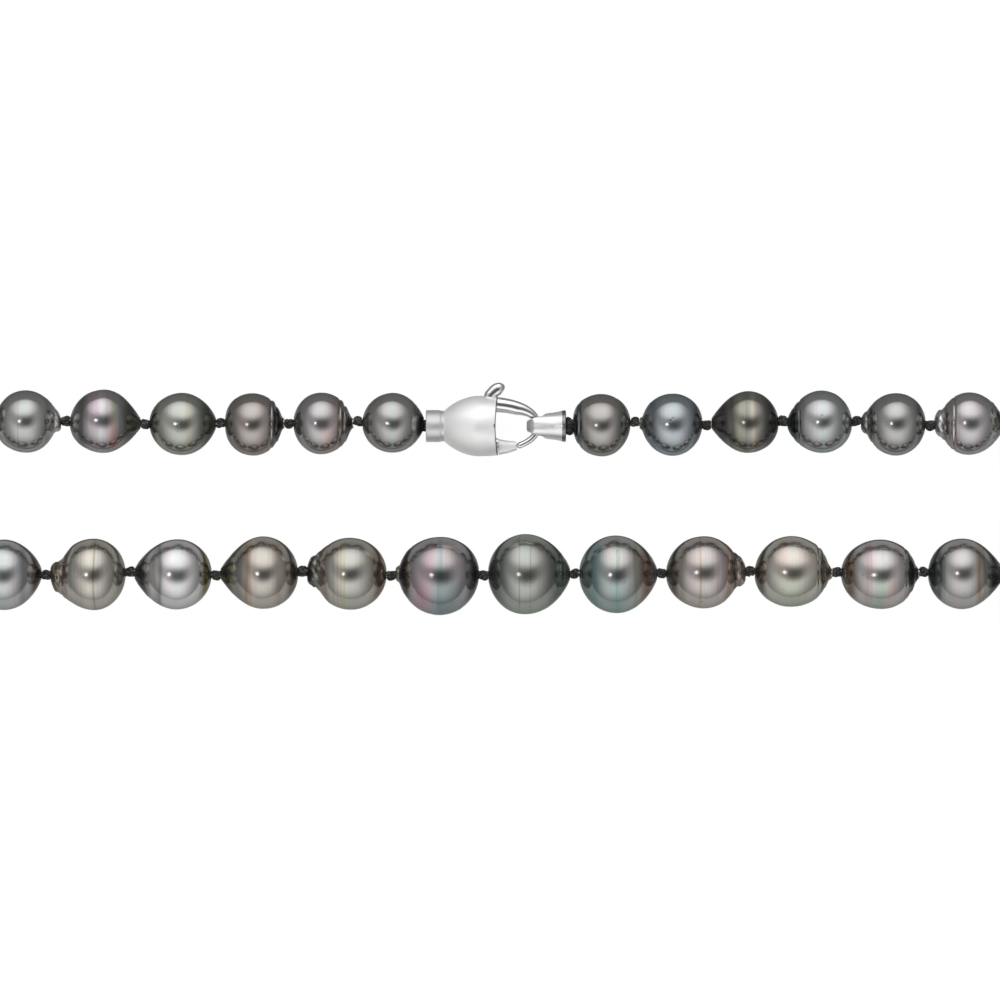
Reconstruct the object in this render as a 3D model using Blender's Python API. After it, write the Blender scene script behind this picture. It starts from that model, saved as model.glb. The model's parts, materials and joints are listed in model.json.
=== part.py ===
"""Graduated necklace of dark baroque pearls, knotted on silk, with a sprung claw clasp.

The strand lies flat in two rows joined by a round turn at each end. +X runs along the
rows towards the tail of the clasp, +Y from the front row to the clasp's row, and z = 0
is the surface that every pearl lies on. The origin is the middle of the plan.
"""

import math
from collections import namedtuple

import bmesh
import bpy
import numpy as np
from mathutils import Matrix, Vector

MM = 0.001

# Strand
LARGEST_PEARL = 10.3 * MM
ROW_SPACING = 19.4 * MM
FRONT_SHIFT = 3.5 * MM
CLASP_DROP = 0.35 * MM
KNOT_GAP = 1.2 * MM
KNOT_RADIUS = 0.6 * MM
SILK_RADIUS = 0.36 * MM
BORE_RADIUS = 0.5 * MM
MOUTH_FLAT = 0.4 * MM
PEARL_SIDES = 12

# Clasp body, measured from the plane of the barrel's open front
COLLAR_RADIUS = 2.06 * MM
COLLAR_LENGTH = 1.85 * MM
COLLAR_GAP = 0.25 * MM
NECK_RADIUS = 1.9 * MM
NECK_LENGTH = 0.5 * MM
CUP_RADIUS = 1.5 * MM
CUP_DEPTH = 2.55 * MM
BULKHEAD = 0.6 * MM
BARREL_LENGTH = 6.95 * MM
BARREL_RADIUS = 3.9 * MM
BARREL_WALL = 0.75 * MM
WIDEST_BACK = 2.58 * MM
HOOK_REACH = 5.55 * MM
HOOK_POWER = 2.3
HOOK_WIRE = 0.9 * MM
HOOK_ARM = 1.65 * MM
HOOK_ROOT_WIDTH = 2.6 * MM
HOOK_WIDTH = 1.0 * MM
HOOK_BAND = 0.45 * MM

# Trigger lever
PIVOT_BACK = 3.87 * MM
PIVOT_DROP = 1.29 * MM
PIN_RADIUS = 0.4 * MM
BOSS_RADIUS = 0.95 * MM
LEVER_WIDTH = 1.8 * MM
GATE_REACH = 6.25 * MM
GATE_THICK = 1.4 * MM
TAB_RISE = 1.75 * MM
TAB_LEAN = 1.9 * MM
TAB_THICK = 1.25 * MM
LEVER_SWING = 22.0
FIT_GAP = 0.06 * MM
RUN_GAP = 0.15 * MM
SPRING_RADIUS = 0.6 * MM
SPRING_WIRE = 0.14 * MM
SPRING_TURNS = 5

# Tail piece
RING_HOLE = 1.0 * MM
RING_WALL = 0.5 * MM
RING_HALF_HEIGHT = 1.1 * MM
TAIL_LENGTH = 3.67 * MM
TAIL_RADIUS = 2.08 * MM
TAIL_CUP_RADIUS = 1.32 * MM
TAIL_CUP_DEPTH = 2.2 * MM
TAIL_GAP = 0.9 * MM
BAR_RADIUS = 0.3 * MM
BAR_SEAT = 0.3 * MM

TURN_SIDES = 24
BEVEL_RINGS = 2

# radius, then reach and end form on the side met first and on the side met last,
# going from the collar round the strand to the tail, in millimetres where the largest
# pearl is 10.3 mm across
GRADE = LARGEST_PEARL / 10.3
Pearl = namedtuple("Pearl", "radius reach_in form_in reach_out form_out tone")

BACK_LEFT = (
    Pearl(3.88 * GRADE, 4.00 * GRADE, "taper", 3.92 * GRADE, "round", "grey"),
    Pearl(3.97 * GRADE, 4.17 * GRADE, "ringed", 3.53 * GRADE, "round", "mauve"),
    Pearl(4.00 * GRADE, 4.04 * GRADE, "ringed", 3.59 * GRADE, "blunt", "grey"),
    Pearl(4.00 * GRADE, 4.37 * GRADE, "taper", 4.17 * GRADE, "round", "green"),
    Pearl(4.10 * GRADE, 4.69 * GRADE, "drop", 4.37 * GRADE, "round", "mauve"),
    Pearl(4.06 * GRADE, 4.50 * GRADE, "nub", 4.00 * GRADE, "round", "grey"),
)
FRONT = (
    Pearl(4.52 * GRADE, 4.77 * GRADE, "round", 4.82 * GRADE, "taper", "charcoal"),
    Pearl(4.58 * GRADE, 5.59 * GRADE, "nub", 4.04 * GRADE, "round", "bronze"),
    Pearl(4.52 * GRADE, 5.46 * GRADE, "drop", 4.43 * GRADE, "round", "grey"),
    Pearl(4.70 * GRADE, 5.46 * GRADE, "drop", 4.50 * GRADE, "round", "bronze"),
    Pearl(4.68 * GRADE, 5.53 * GRADE, "nub", 4.69 * GRADE, "round", "bronze"),
    Pearl(5.06 * GRADE, 5.72 * GRADE, "nub", 5.01 * GRADE, "round", "charcoal"),
    Pearl(5.15 * GRADE, 4.75 * GRADE, "round", 5.79 * GRADE, "taper", "green"),
    Pearl(4.97 * GRADE, 4.75 * GRADE, "round", 5.27 * GRADE, "taper", "green"),
    Pearl(4.64 * GRADE, 4.88 * GRADE, "round", 5.33 * GRADE, "nub", "bronze"),
    Pearl(4.58 * GRADE, 4.69 * GRADE, "round", 5.27 * GRADE, "ringed", "green"),
    Pearl(4.52 * GRADE, 5.14 * GRADE, "round", 4.88 * GRADE, "ringed", "green"),
    Pearl(4.58 * GRADE, 4.37 * GRADE, "round", 5.33 * GRADE, "drop", "charcoal"),
)
BACK_RIGHT = (
    Pearl(4.03 * GRADE, 4.39 * GRADE, "taper", 4.43 * GRADE, "nub", "grey"),
    Pearl(4.06 * GRADE, 3.79 * GRADE, "round", 4.50 * GRADE, "nub", "grey"),
    Pearl(4.06 * GRADE, 3.85 * GRADE, "round", 4.43 * GRADE, "ringed", "blue"),
    Pearl(4.00 * GRADE, 3.92 * GRADE, "round", 4.69 * GRADE, "drop", "charcoal"),
    Pearl(4.00 * GRADE, 3.79 * GRADE, "round", 4.30 * GRADE, "taper", "blue"),
    Pearl(4.00 * GRADE, 3.66 * GRADE, "round", 3.74 * GRADE, "blunt", "mauve"),
)
LEFT_TURN_COUNT = 8
RIGHT_TURN_COUNT = 9
TURN_FORMS = (("round", "taper"), ("drop", "round"), ("nub", "round"), ("round", "ringed"))
TURN_TONES = ("grey", "green", "charcoal", "bronze", "blue")

TONES = {
    "charcoal": (0.075, 0.078, 0.080),
    "grey": (0.170, 0.172, 0.170),
    "green": (0.165, 0.185, 0.170),
    "bronze": (0.190, 0.172, 0.150),
    "blue": (0.150, 0.165, 0.190),
    "mauve": (0.200, 0.175, 0.180),
}
FULLNESS = {"blunt": 0.40, "round": 0.50, "taper": 0.68, "drop": 1.0}


def clear_scene():
    for obj in list(bpy.data.objects):
        bpy.data.objects.remove(obj, do_unlink=True)


def material(name, rgb, roughness, metallic):
    made = bpy.data.materials.get(name)
    if made is None:
        made = bpy.data.materials.new(name)
        made.use_nodes = True
        shader = made.node_tree.nodes["Principled BSDF"]
        shader.inputs["Base Color"].default_value = (*rgb, 1.0)
        shader.inputs["Roughness"].default_value = roughness
        shader.inputs["Metallic"].default_value = metallic
    return made


def add_object(name, data, finish, at=(0.0, 0.0, 0.0), heading=0.0):
    obj = bpy.data.objects.new(name, data)
    obj.location = at
    obj.rotation_euler = (0.0, 0.0, heading)
    if finish is not None:
        data.materials.append(finish)
    bpy.context.scene.collection.objects.link(obj)
    return obj


def mesh_from(name, bm):
    bmesh.ops.recalc_face_normals(bm, faces=bm.faces)
    mesh = bpy.data.meshes.new(name)
    bm.to_mesh(mesh)
    bm.free()
    return mesh


def turned_mesh(name, outline, sides, axis="X", closed=False):
    """Turn an outline of (along, radius) pairs right round the axis."""
    bm = bmesh.new()
    start = math.pi / sides
    rim = Vector((0.0, math.cos(start), math.sin(start)))
    along = Vector((1.0, 0.0, 0.0))
    if axis == "Y":
        rim = Vector((math.sin(start), 0.0, math.cos(start)))
        along = Vector((0.0, 1.0, 0.0))
    verts = [bm.verts.new(along * x + rim * r) for x, r in outline]
    pairs = list(zip(verts, verts[1:]))
    if closed:
        pairs.append((verts[-1], verts[0]))
    edges = [bm.edges.new(pair) for pair in pairs]
    bmesh.ops.spin(
        bm, geom=verts + edges, cent=(0, 0, 0), axis=along, angle=2 * math.pi,
        steps=sides, use_merge=True, use_duplicate=False,
    )
    bmesh.ops.remove_doubles(bm, verts=bm.verts, dist=1e-7)
    return mesh_from(name, bm)


def prism_mesh(name, outline, low, high, lift=None):
    """Extrude an outline of (x, y) pairs from low to high along z, or along y."""
    bm = bmesh.new()
    if lift == "Y":
        verts = [bm.verts.new((x, low, z)) for x, z in outline]
        way = (0.0, high - low, 0.0)
    else:
        verts = [bm.verts.new((x, y, low)) for x, y in outline]
        way = (0.0, 0.0, high - low)
    face = bm.faces.new(verts)
    grown = bmesh.ops.extrude_face_region(bm, geom=[face])
    moved = [v for v in grown["geom"] if isinstance(v, bmesh.types.BMVert)]
    bmesh.ops.translate(bm, verts=moved, vec=way)
    return mesh_from(name, bm)


def rod_mesh(name, radius, half_length, sides=12):
    """A plain rod along z, its middle at the origin."""
    bm = bmesh.new()
    bmesh.ops.create_cone(
        bm, cap_ends=True, segments=sides, radius1=radius, radius2=radius,
        depth=2 * half_length,
    )
    return mesh_from(name, bm)


def tube_curve(name, points, radius, radii=None):
    """A round tube along straight stretches, with a radius of its own at each point."""
    curve = bpy.data.curves.new(name, "CURVE")
    curve.dimensions = "3D"
    curve.bevel_depth = radius
    curve.bevel_resolution = BEVEL_RINGS
    curve.use_fill_caps = True
    spline = curve.splines.new("POLY")
    spline.points.add(len(points) - 1)
    for i, at in enumerate(points):
        spline.points[i].co = (*at, 1.0)
        spline.points[i].radius = 1.0 if radii is None else radii[i] / radius
    return curve


def boolean(obj, mesh, operation, at):
    """Cut, join or trim an object with a helper mesh that isn't part of the model."""
    helper = add_object(f"{obj.name}_tool_{len(obj.modifiers)}", mesh, None, at)
    helper.hide_render = True
    helper.display_type = "WIRE"
    change = obj.modifiers.new(operation.title(), "BOOLEAN")
    change.operation = operation
    change.solver = "EXACT"
    change.object = helper
    return helper


def end_outline(radius, reach, form):
    """(distance from the widest ring, radius) pairs out to the drilled mouth."""
    mouth = BORE_RADIUS + MOUTH_FLAT
    if form in FULLNESS:
        power = FULLNESS[form]
        last = math.sqrt(1.0 - (mouth / radius) ** (1.0 / power))
        shares = [math.sin(math.radians(a)) for a in (30.0, 60.0)] + [1.0]
        steps = [share * last for share in shares]
        return [(reach * s / last, radius * (1.0 - s * s) ** power) for s in steps]
    if form == "nub":
        body, neck, bulge = 0.80 * reach, 0.36 * radius, 0.40 * radius
        found = [(0.5 * body, 0.875 * radius), (0.84 * body, 0.58 * radius), (body, neck)]
        return found + [(0.5 * (body + reach), max(bulge, 1.1 * mouth)), (reach, mouth)]
    found = [(0.42 * reach, 0.91 * radius), (0.66 * reach, 0.70 * radius)]
    found += [(0.72 * reach, 0.62 * radius), (0.80 * reach, 0.58 * radius)]
    return found + [(reach, mouth)]


def pearl_outline(pearl):
    """The closed outline of a drilled pearl, its widest ring at zero."""
    scale = math.sqrt(2 * math.pi / PEARL_SIDES / math.sin(2 * math.pi / PEARL_SIDES))
    before = [(-d, r) for d, r in end_outline(pearl.radius, pearl.reach_in, pearl.form_in)]
    after = end_outline(pearl.radius, pearl.reach_out, pearl.form_out)
    outer = before[::-1] + [(0.0, pearl.radius)] + after
    outer = [(d, r * scale) for d, r in outer]
    return outer + [(pearl.reach_out, BORE_RADIUS), (-pearl.reach_in, BORE_RADIUS)]


def axis_height(pearl):
    """How high a pearl's drilled axis lies when its lowest facet is on the surface."""
    widest = max(r for _, r in pearl_outline(pearl))
    return widest * math.cos(math.pi / PEARL_SIDES)


def turn_pearls(count, first, last):
    """Pearls of a turn, graduated evenly between the rows on either side of it."""
    made = []
    for i in range(count):
        radius = first + (last - first) * (i + 1) / (count + 1)
        form_in, form_out = TURN_FORMS[i % len(TURN_FORMS)]
        long, short = 1.16 * radius, 1.0 * radius
        reach_in = short if form_in == "round" else long
        reach_out = short if form_out == "round" else long
        tone = TURN_TONES[i % len(TURN_TONES)]
        made.append(Pearl(radius, reach_in, form_in, reach_out, form_out, tone))
    return made


def link_length(pearl):
    return pearl.reach_in + pearl.reach_out + KNOT_GAP


def easiest_turn(start, end, lengths, heading):
    """Knots of a chain that leaves start and reaches end with the least bending.

    The strand turns half round from the given heading. The headings of its links
    minimise the sum of the squared bends, while the links still close the distance.
    """
    unit = float(np.mean(lengths))
    links = np.array(lengths) / unit
    goal = (np.array(end) - np.array(start)) / unit
    count = len(links)
    places = np.arange(count) - 0.5 * (count - 1)
    angles = heading + 0.5 * math.pi + places * 1.45 * math.pi / count
    push = np.zeros(2)
    ends = (heading, heading + math.pi)
    second = 4.0 * np.eye(count) - 2.0 * np.eye(count, k=1) - 2.0 * np.eye(count, k=-1)
    for _ in range(80):
        cos, sin = links * np.cos(angles), links * np.sin(angles)
        bends = second @ angles
        bends[0] -= 2.0 * ends[0]
        bends[-1] -= 2.0 * ends[1]
        slope = bends - push[0] * sin + push[1] * cos
        miss = np.array([cos.sum(), sin.sum()]) - goal
        matrix = np.zeros((count + 2, count + 2))
        matrix[:count, :count] = second - np.diag(push[0] * cos + push[1] * sin)
        matrix[:count, count], matrix[:count, count + 1] = -sin, cos
        matrix[count, :count], matrix[count + 1, :count] = -sin, cos
        step = np.linalg.solve(matrix, -np.concatenate([slope, miss]))
        limit = min(1.0, 0.35 / max(1e-12, np.abs(step[:count]).max()))
        angles = angles + limit * step[:count]
        push = push + limit * step[count:]
    ways = np.stack([np.cos(angles), np.sin(angles)], axis=1) * np.array(lengths)[:, None]
    return [tuple(p) for p in np.array(start) + np.cumsum(ways, axis=0)]


def lay_strand():
    """(pearls, knots in plan): knot i follows pearl i, and knot 0 lies in the collar."""
    collar = -(BARREL_LENGTH + NECK_LENGTH + COLLAR_LENGTH)
    tail = HOOK_REACH - 0.5 * HOOK_WIRE + TAIL_LENGTH
    left = [(collar - COLLAR_GAP + 0.5 * KNOT_GAP, 0.0)]
    for pearl in BACK_LEFT:
        left.append((left[-1][0] - link_length(pearl), 0.0))
    middle = len(FRONT) // 2
    front_start = FRONT_SHIFT - FRONT[middle].reach_in - 0.5 * KNOT_GAP
    front_start -= sum(link_length(p) for p in FRONT[:middle])
    front = [(front_start, -ROW_SPACING)]
    for pearl in FRONT:
        front.append((front[-1][0] + link_length(pearl), -ROW_SPACING))
    right = [(tail + TAIL_GAP - 0.5 * KNOT_GAP, 0.0)]
    for pearl in BACK_RIGHT[::-1]:
        right.append((right[-1][0] + link_length(pearl), 0.0))
    right = right[::-1]
    turn_left = turn_pearls(LEFT_TURN_COUNT, BACK_LEFT[-1].radius, FRONT[0].radius)
    turn_right = turn_pearls(RIGHT_TURN_COUNT, FRONT[-1].radius, BACK_RIGHT[0].radius)
    lengths = [link_length(p) for p in turn_left]
    bend_left = easiest_turn(left[-1], front[0], lengths, math.pi)
    lengths = [link_length(p) for p in turn_right]
    bend_right = easiest_turn(front[-1], right[0], lengths, 0.0)
    pearls = [*BACK_LEFT, *turn_left, *FRONT, *turn_right, *BACK_RIGHT]
    knots = left + bend_left[:-1] + front + bend_right[:-1] + right
    return pearls, knots


def plan_middle(pearls, knots):
    """Middle of the strand's box in plan, from each ring of each pearl."""
    low, high = np.full(2, np.inf), np.full(2, -np.inf)
    for i, pearl in enumerate(pearls):
        start, end = np.array(knots[i]), np.array(knots[i + 1])
        way = (end - start) / np.linalg.norm(end - start)
        centre = start + way * (0.5 * KNOT_GAP + pearl.reach_in)
        for along, radius in pearl_outline(pearl):
            reach = radius * np.abs(way[::-1])
            low = np.minimum(low, centre + way * along - reach)
            high = np.maximum(high, centre + way * along + reach)
    return 0.5 * (low + high)


PEARLS, KNOTS = lay_strand()
MIDDLE = plan_middle(PEARLS, KNOTS)
KNOTS = [tuple(np.array(knot) - MIDDLE) for knot in KNOTS]
HEIGHTS = [axis_height(pearl) for pearl in PEARLS]
CLASP_AT = Vector((-MIDDLE[0], -MIDDLE[1] - CLASP_DROP, max(HEIGHTS[0], BARREL_RADIUS)))
PIVOT_AT = CLASP_AT + Vector((-PIVOT_BACK, -PIVOT_DROP, 0.0))
TAIL_AT = CLASP_AT + Vector((HOOK_REACH - 0.5 * HOOK_WIRE, 0.0, 0.0))


def knot_point(i):
    """A knot in space, midway in height between the pearls beside it."""
    beside = HEIGHTS[max(0, i - 1):i + 1]
    return Vector((*KNOTS[i], sum(beside) / len(beside)))


# Spans of the strand: (name, pearls in the clasp's row, pearls in the front row), as
# first and last numbers counted from the collar. The turns join both rows in one span.
ROW = len(BACK_LEFT)
FRONT_FIRST = ROW + LEFT_TURN_COUNT
FRONT_MID = FRONT_FIRST + len(FRONT) // 2
RIGHT_FIRST = FRONT_FIRST + len(FRONT) + RIGHT_TURN_COUNT
LAST = len(PEARLS)
SPANS = {
    "clasp_span": ((1, 1), (FRONT_MID, FRONT_MID + 1)),
    "left_span_1": ((2, 3), (FRONT_MID - 2, FRONT_MID - 1)),
    "left_span_2": ((4, 5), (FRONT_MID - 4, FRONT_MID - 3)),
    "left_turn": ((6, FRONT_MID - 5),),
    "right_span_1": ((LAST - 1, LAST), (FRONT_MID + 2, FRONT_MID + 3)),
    "right_span_2": ((LAST - 3, LAST - 2), (FRONT_MID + 4, FRONT_MID + 5)),
    "right_turn": ((FRONT_MID + 6, LAST - 4),),
}
# The two ends of each fold's axis: the knot or hook in the clasp's row, and the knot
# in the front row
FOLDS = {
    "left_span_1": (knot_point(1), knot_point(FRONT_MID - 1)),
    "left_span_2": (knot_point(3), knot_point(FRONT_MID - 3)),
    "left_turn": (knot_point(5), knot_point(FRONT_MID - 5)),
    "right_span_1": (TAIL_AT, knot_point(FRONT_MID + 1)),
    "right_span_2": (knot_point(LAST - 2), knot_point(FRONT_MID + 3)),
    "right_turn": (knot_point(LAST - 4), knot_point(FRONT_MID + 5)),
}
# Knots that belong to the span nearer the clasp, where a fold's axis passes
FOLD_KNOTS = {1, 3, 5, FRONT_MID - 1, FRONT_MID - 3, FRONT_MID - 5}
FOLD_KNOTS |= {FRONT_MID + 1, FRONT_MID + 3, FRONT_MID + 5, LAST - 2, LAST - 4}


def owns_knot(span, knot):
    """A fold's knot goes with the span nearer the clasp."""
    if knot not in FOLD_KNOTS:
        return True
    order = list(SPANS)
    holders = [n for n, runs in SPANS.items() if any(a - 1 <= knot <= b for a, b in runs)]
    return span == min(holders, key=order.index)


def span_empties():
    """An empty on each fold's axis carries what folds there."""
    made = {"clasp_span": add_object("clasp_span", None, None, CLASP_AT)}
    for name, (first, second) in FOLDS.items():
        made[name] = add_object(name, None, None, 0.5 * (first + second))
    return made


def carry(obj, empty):
    obj.parent = empty
    obj.matrix_parent_inverse = Matrix.Translation(-empty.location)


def way_of(number):
    """Direction in plan of the link that a pearl is threaded on."""
    start, end = Vector(KNOTS[number - 1]), Vector(KNOTS[number])
    return (end - start).normalized()


def build_pearls(empties):
    for span, runs in SPANS.items():
        for first, last in runs:
            for number in range(first, last + 1):
                pearl = PEARLS[number - 1]
                way = way_of(number)
                centre = Vector(KNOTS[number - 1])
                centre += way * (0.5 * KNOT_GAP + pearl.reach_in)
                name = f"pearl_{number:02d}"
                mesh = turned_mesh(name, pearl_outline(pearl), PEARL_SIDES, closed=True)
                finish = material(f"pearl_{pearl.tone}", TONES[pearl.tone], 0.22, 0.6)
                at = (*centre, HEIGHTS[number - 1])
                obj = add_object(name, mesh, finish, at, math.atan2(way.y, way.x))
                carry(obj, empties[span])


def knot_stations(number, side):
    """Points and radii on one side of a knot: side -1 is before it, +1 after it."""
    pearl = number if side < 0 else number + 1
    way = Vector((*way_of(pearl), 0.0)) * side
    centre = knot_point(number)
    far = centre + way * (0.48 * KNOT_GAP)
    far.z = HEIGHTS[pearl - 1]
    near = centre + way * (0.27 * KNOT_GAP)
    return [(near, KNOT_RADIUS), (far, SILK_RADIUS)]


def loop_stations(bar, knot, way):
    """Silk from its knot in a cup, once round the anchor bar, and back beside the knot."""
    reach = BAR_RADIUS + SILK_RADIUS + RUN_GAP
    points = [(knot, KNOT_RADIUS)]
    for turn in (140.0, 95.0, 50.0, 5.0, -40.0, -85.0):
        angle = math.radians(turn)
        out = Vector((way * math.cos(angle), math.sin(angle), 0.0)) * reach
        points.append((bar + out, SILK_RADIUS))
    return points


def collar_bar():
    rim = -(BARREL_LENGTH + NECK_LENGTH + COLLAR_LENGTH)
    return CLASP_AT + Vector((rim + 1.15 * MM, 0.0, 0.0))


def tail_bar():
    return TAIL_AT + Vector((TAIL_LENGTH - 0.85 * MM, 0.0, 0.0))


def silk_path(span, first, last):
    """Stations of the silk through pearls first to last, with the knots it owns."""
    path = []
    if first == 1:
        rim = CLASP_AT.x - BARREL_LENGTH - NECK_LENGTH - COLLAR_LENGTH
        knot = Vector((rim + 0.15 * MM, CLASP_AT.y, CLASP_AT.z))
        entry = Vector((rim - COLLAR_GAP - 0.35 * MM, KNOTS[0][1], HEIGHTS[0]))
        path = loop_stations(collar_bar(), knot, 1.0)[::-1] + [(entry, SILK_RADIUS)]
    elif owns_knot(span, first - 1):
        path = knot_stations(first - 1, -1)[:1]
        path += knot_stations(first - 1, 1)
    else:
        way = Vector((*way_of(first), 0.0))
        start = knot_point(first - 1) + way * (0.5 * KNOT_GAP + RUN_GAP)
        start.z = HEIGHTS[first - 1]
        path = [(start, SILK_RADIUS)]
    for number in range(first, last):
        path += knot_stations(number, -1)[::-1] + knot_stations(number, 1)
    if last == LAST:
        rim = TAIL_AT.x + TAIL_LENGTH
        knot = Vector((rim + 0.1 * MM, TAIL_AT.y, TAIL_AT.z))
        leave = Vector((rim + TAIL_GAP + 0.35 * MM, KNOTS[LAST][1], HEIGHTS[LAST - 1]))
        path += [(leave, SILK_RADIUS)] + loop_stations(tail_bar(), knot, -1.0)
    elif owns_knot(span, last):
        path += knot_stations(last, -1)[::-1] + knot_stations(last, 1)[:1]
    else:
        way = Vector((*way_of(last), 0.0))
        end = knot_point(last) - way * (0.5 * KNOT_GAP + RUN_GAP)
        end.z = HEIGHTS[last - 1]
        path.append((end, SILK_RADIUS))
    return path


def build_silk(empties):
    finish = material("silk", (0.012, 0.012, 0.013), 0.8, 0.0)
    for span, runs in SPANS.items():
        for run, (first, last) in enumerate(runs):
            path = silk_path(span, first, last)
            middle = empties[span].location
            points = [at - middle for at, _ in path]
            place = ("back", "front")[run] if len(runs) == 2 else "turn"
            name = f"silk_{span}_{place}"
            curve = tube_curve(name, points, SILK_RADIUS, [r for _, r in path])
            carry(add_object(name, curve, finish, middle), empties[span])


def barrel_radius(x):
    """Outer radius of the clasp's egg at x from the barrel's open front."""
    from_widest = x + WIDEST_BACK
    if from_widest <= 0:
        rear = BARREL_LENGTH - WIDEST_BACK
        axis = rear / math.sqrt(1.0 - (NECK_RADIUS / BARREL_RADIUS) ** 2)
        return BARREL_RADIUS * math.sqrt(max(0.0, 1.0 - (from_widest / axis) ** 2))
    share = min(1.0, from_widest / (WIDEST_BACK + HOOK_REACH))
    return BARREL_RADIUS * (1.0 - share**HOOK_POWER) ** (1.0 / HOOK_POWER)


def shell_outline():
    """Collar cup, neck and hollow barrel in one outline, from the cup's floor."""
    neck = -BARREL_LENGTH
    rim = neck - NECK_LENGTH - COLLAR_LENGTH
    floor = rim + CUP_DEPTH
    back = floor + BULKHEAD
    step = 0.12 * MM
    line = [(floor, 0.0), (floor, CUP_RADIUS), (rim, CUP_RADIUS)]
    line += [(rim, COLLAR_RADIUS - step), (rim + step, COLLAR_RADIUS)]
    line += [(neck - NECK_LENGTH, COLLAR_RADIUS - 0.5 * step)]
    line += [(neck - 0.5 * NECK_LENGTH, NECK_RADIUS - step)]
    shares = (0.0, 0.12, 0.27, 0.45, 0.65, 0.85, 1.0)
    line += [(neck * (1.0 - s), barrel_radius(neck * (1.0 - s))) for s in shares]
    inner = [back * (1.0 - s) for s in (1.0, 0.8, 0.55, 0.3, 0.0)]
    line += [(x, barrel_radius(x) - BARREL_WALL) for x in inner]
    return line + [(back, barrel_radius(back) - BARREL_WALL), (back, 0.0)]


def hook_outline():
    """Plan of the hook: its inside edge, with the outside left beyond the egg."""
    inside = HOOK_REACH - HOOK_WIRE
    start = -HOOK_BAND + 0.05 * MM
    far = 2.0 * BARREL_RADIUS
    line = [(start, HOOK_ARM)]
    for turn in (72.0, 56.0, 42.0, 28.0, 14.0, 0.0):
        angle = math.radians(turn)
        line.append((inside * math.cos(angle) ** 0.62, HOOK_ARM * math.sin(angle) ** 0.62))
    low = barrel_radius(0.0) - 1.1 * HOOK_WIRE
    for turn in (16.0, 32.0, 47.0, 61.0):
        angle = math.radians(turn)
        line.append((inside * math.cos(angle) ** 0.87, -low * math.sin(angle) ** 0.87))
    tip = GATE_REACH + 0.2 * MM
    y = line[-1][1]
    line[-1] = (-PIVOT_BACK + math.sqrt(tip**2 - (y + PIVOT_DROP) ** 2), y)
    low = -barrel_radius(line[-1][0]) - 0.3 * MM
    line.append((-PIVOT_BACK + math.sqrt(tip**2 - (low + PIVOT_DROP) ** 2), low))
    line += [(inside, -far), (far, -far), (far, far), (start, far)]
    return line


def build_clasp_body(empties, finish):
    mesh = turned_mesh("clasp_body", shell_outline(), TURN_SIDES)
    body = add_object("clasp_body", mesh, finish, CLASP_AT)
    slot_back = -(PIVOT_BACK + 0.5 * MM)
    half = 0.5 * LEVER_WIDTH + RUN_GAP
    slot = prism_mesh(
        "slot", [(slot_back, -half), (-HOOK_BAND, -half), (-HOOK_BAND, half), (slot_back, half)],
        0.5 * BARREL_RADIUS, 1.5 * BARREL_RADIUS, "Y",
    )
    boolean(body, slot, "DIFFERENCE", CLASP_AT)
    socket = rod_mesh("socket", PIN_RADIUS + FIT_GAP, pin_half_length() + FIT_GAP)
    boolean(body, socket, "DIFFERENCE", PIVOT_AT)
    seat = rod_mesh("seat", BAR_RADIUS + FIT_GAP, CUP_RADIUS + BAR_SEAT + FIT_GAP)
    boolean(body, seat, "DIFFERENCE", collar_bar())
    stations = [-1.2 * MM + (HOOK_REACH + 1.2 * MM) * s for s in
                (0.0, 0.2, 0.36, 0.5, 0.62, 0.73, 0.82, 0.89, 0.95, 0.985)]
    egg = [(stations[0], 0.0)] + [(x, 0.985 * barrel_radius(x)) for x in stations]
    hook_mesh = turned_mesh("hook", egg + [(HOOK_REACH, 0.0)], TURN_SIDES)
    hook = boolean(body, hook_mesh, "UNION", CLASP_AT)
    plan = prism_mesh("hook_plan", hook_outline(), -BARREL_RADIUS, BARREL_RADIUS)
    boolean(hook, plan, "INTERSECT", CLASP_AT)
    wide, slim = 0.5 * HOOK_ROOT_WIDTH, 0.5 * HOOK_WIDTH
    far, thin = 2.0 * HOOK_REACH, 0.62 * HOOK_REACH
    sides = [(-far, -wide), (0.0, -wide), (thin, -slim), (far, -slim)]
    sides += [(far, slim), (thin, slim), (0.0, wide), (-far, wide)]
    width = prism_mesh("hook_width", sides, -2.0 * BARREL_RADIUS, 2.0 * BARREL_RADIUS, "Y")
    boolean(hook, width, "INTERSECT", CLASP_AT)
    carry(body, empties["clasp_span"])


def pin_half_length():
    """The pin ends inside the barrel's cheeks, under the polished skin."""
    skin = barrel_radius(-PIVOT_BACK - PIN_RADIUS) * math.cos(1.4 * math.pi / TURN_SIDES)
    return math.sqrt(skin**2 - (PIVOT_DROP + PIN_RADIUS) ** 2) - 0.3 * BARREL_WALL


def round_points(x, y, radius, start, stop, count):
    angles = [math.radians(start + (stop - start) * i / (count - 1)) for i in range(count)]
    return [(x + radius * math.cos(a), y + radius * math.sin(a)) for a in angles]


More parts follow.
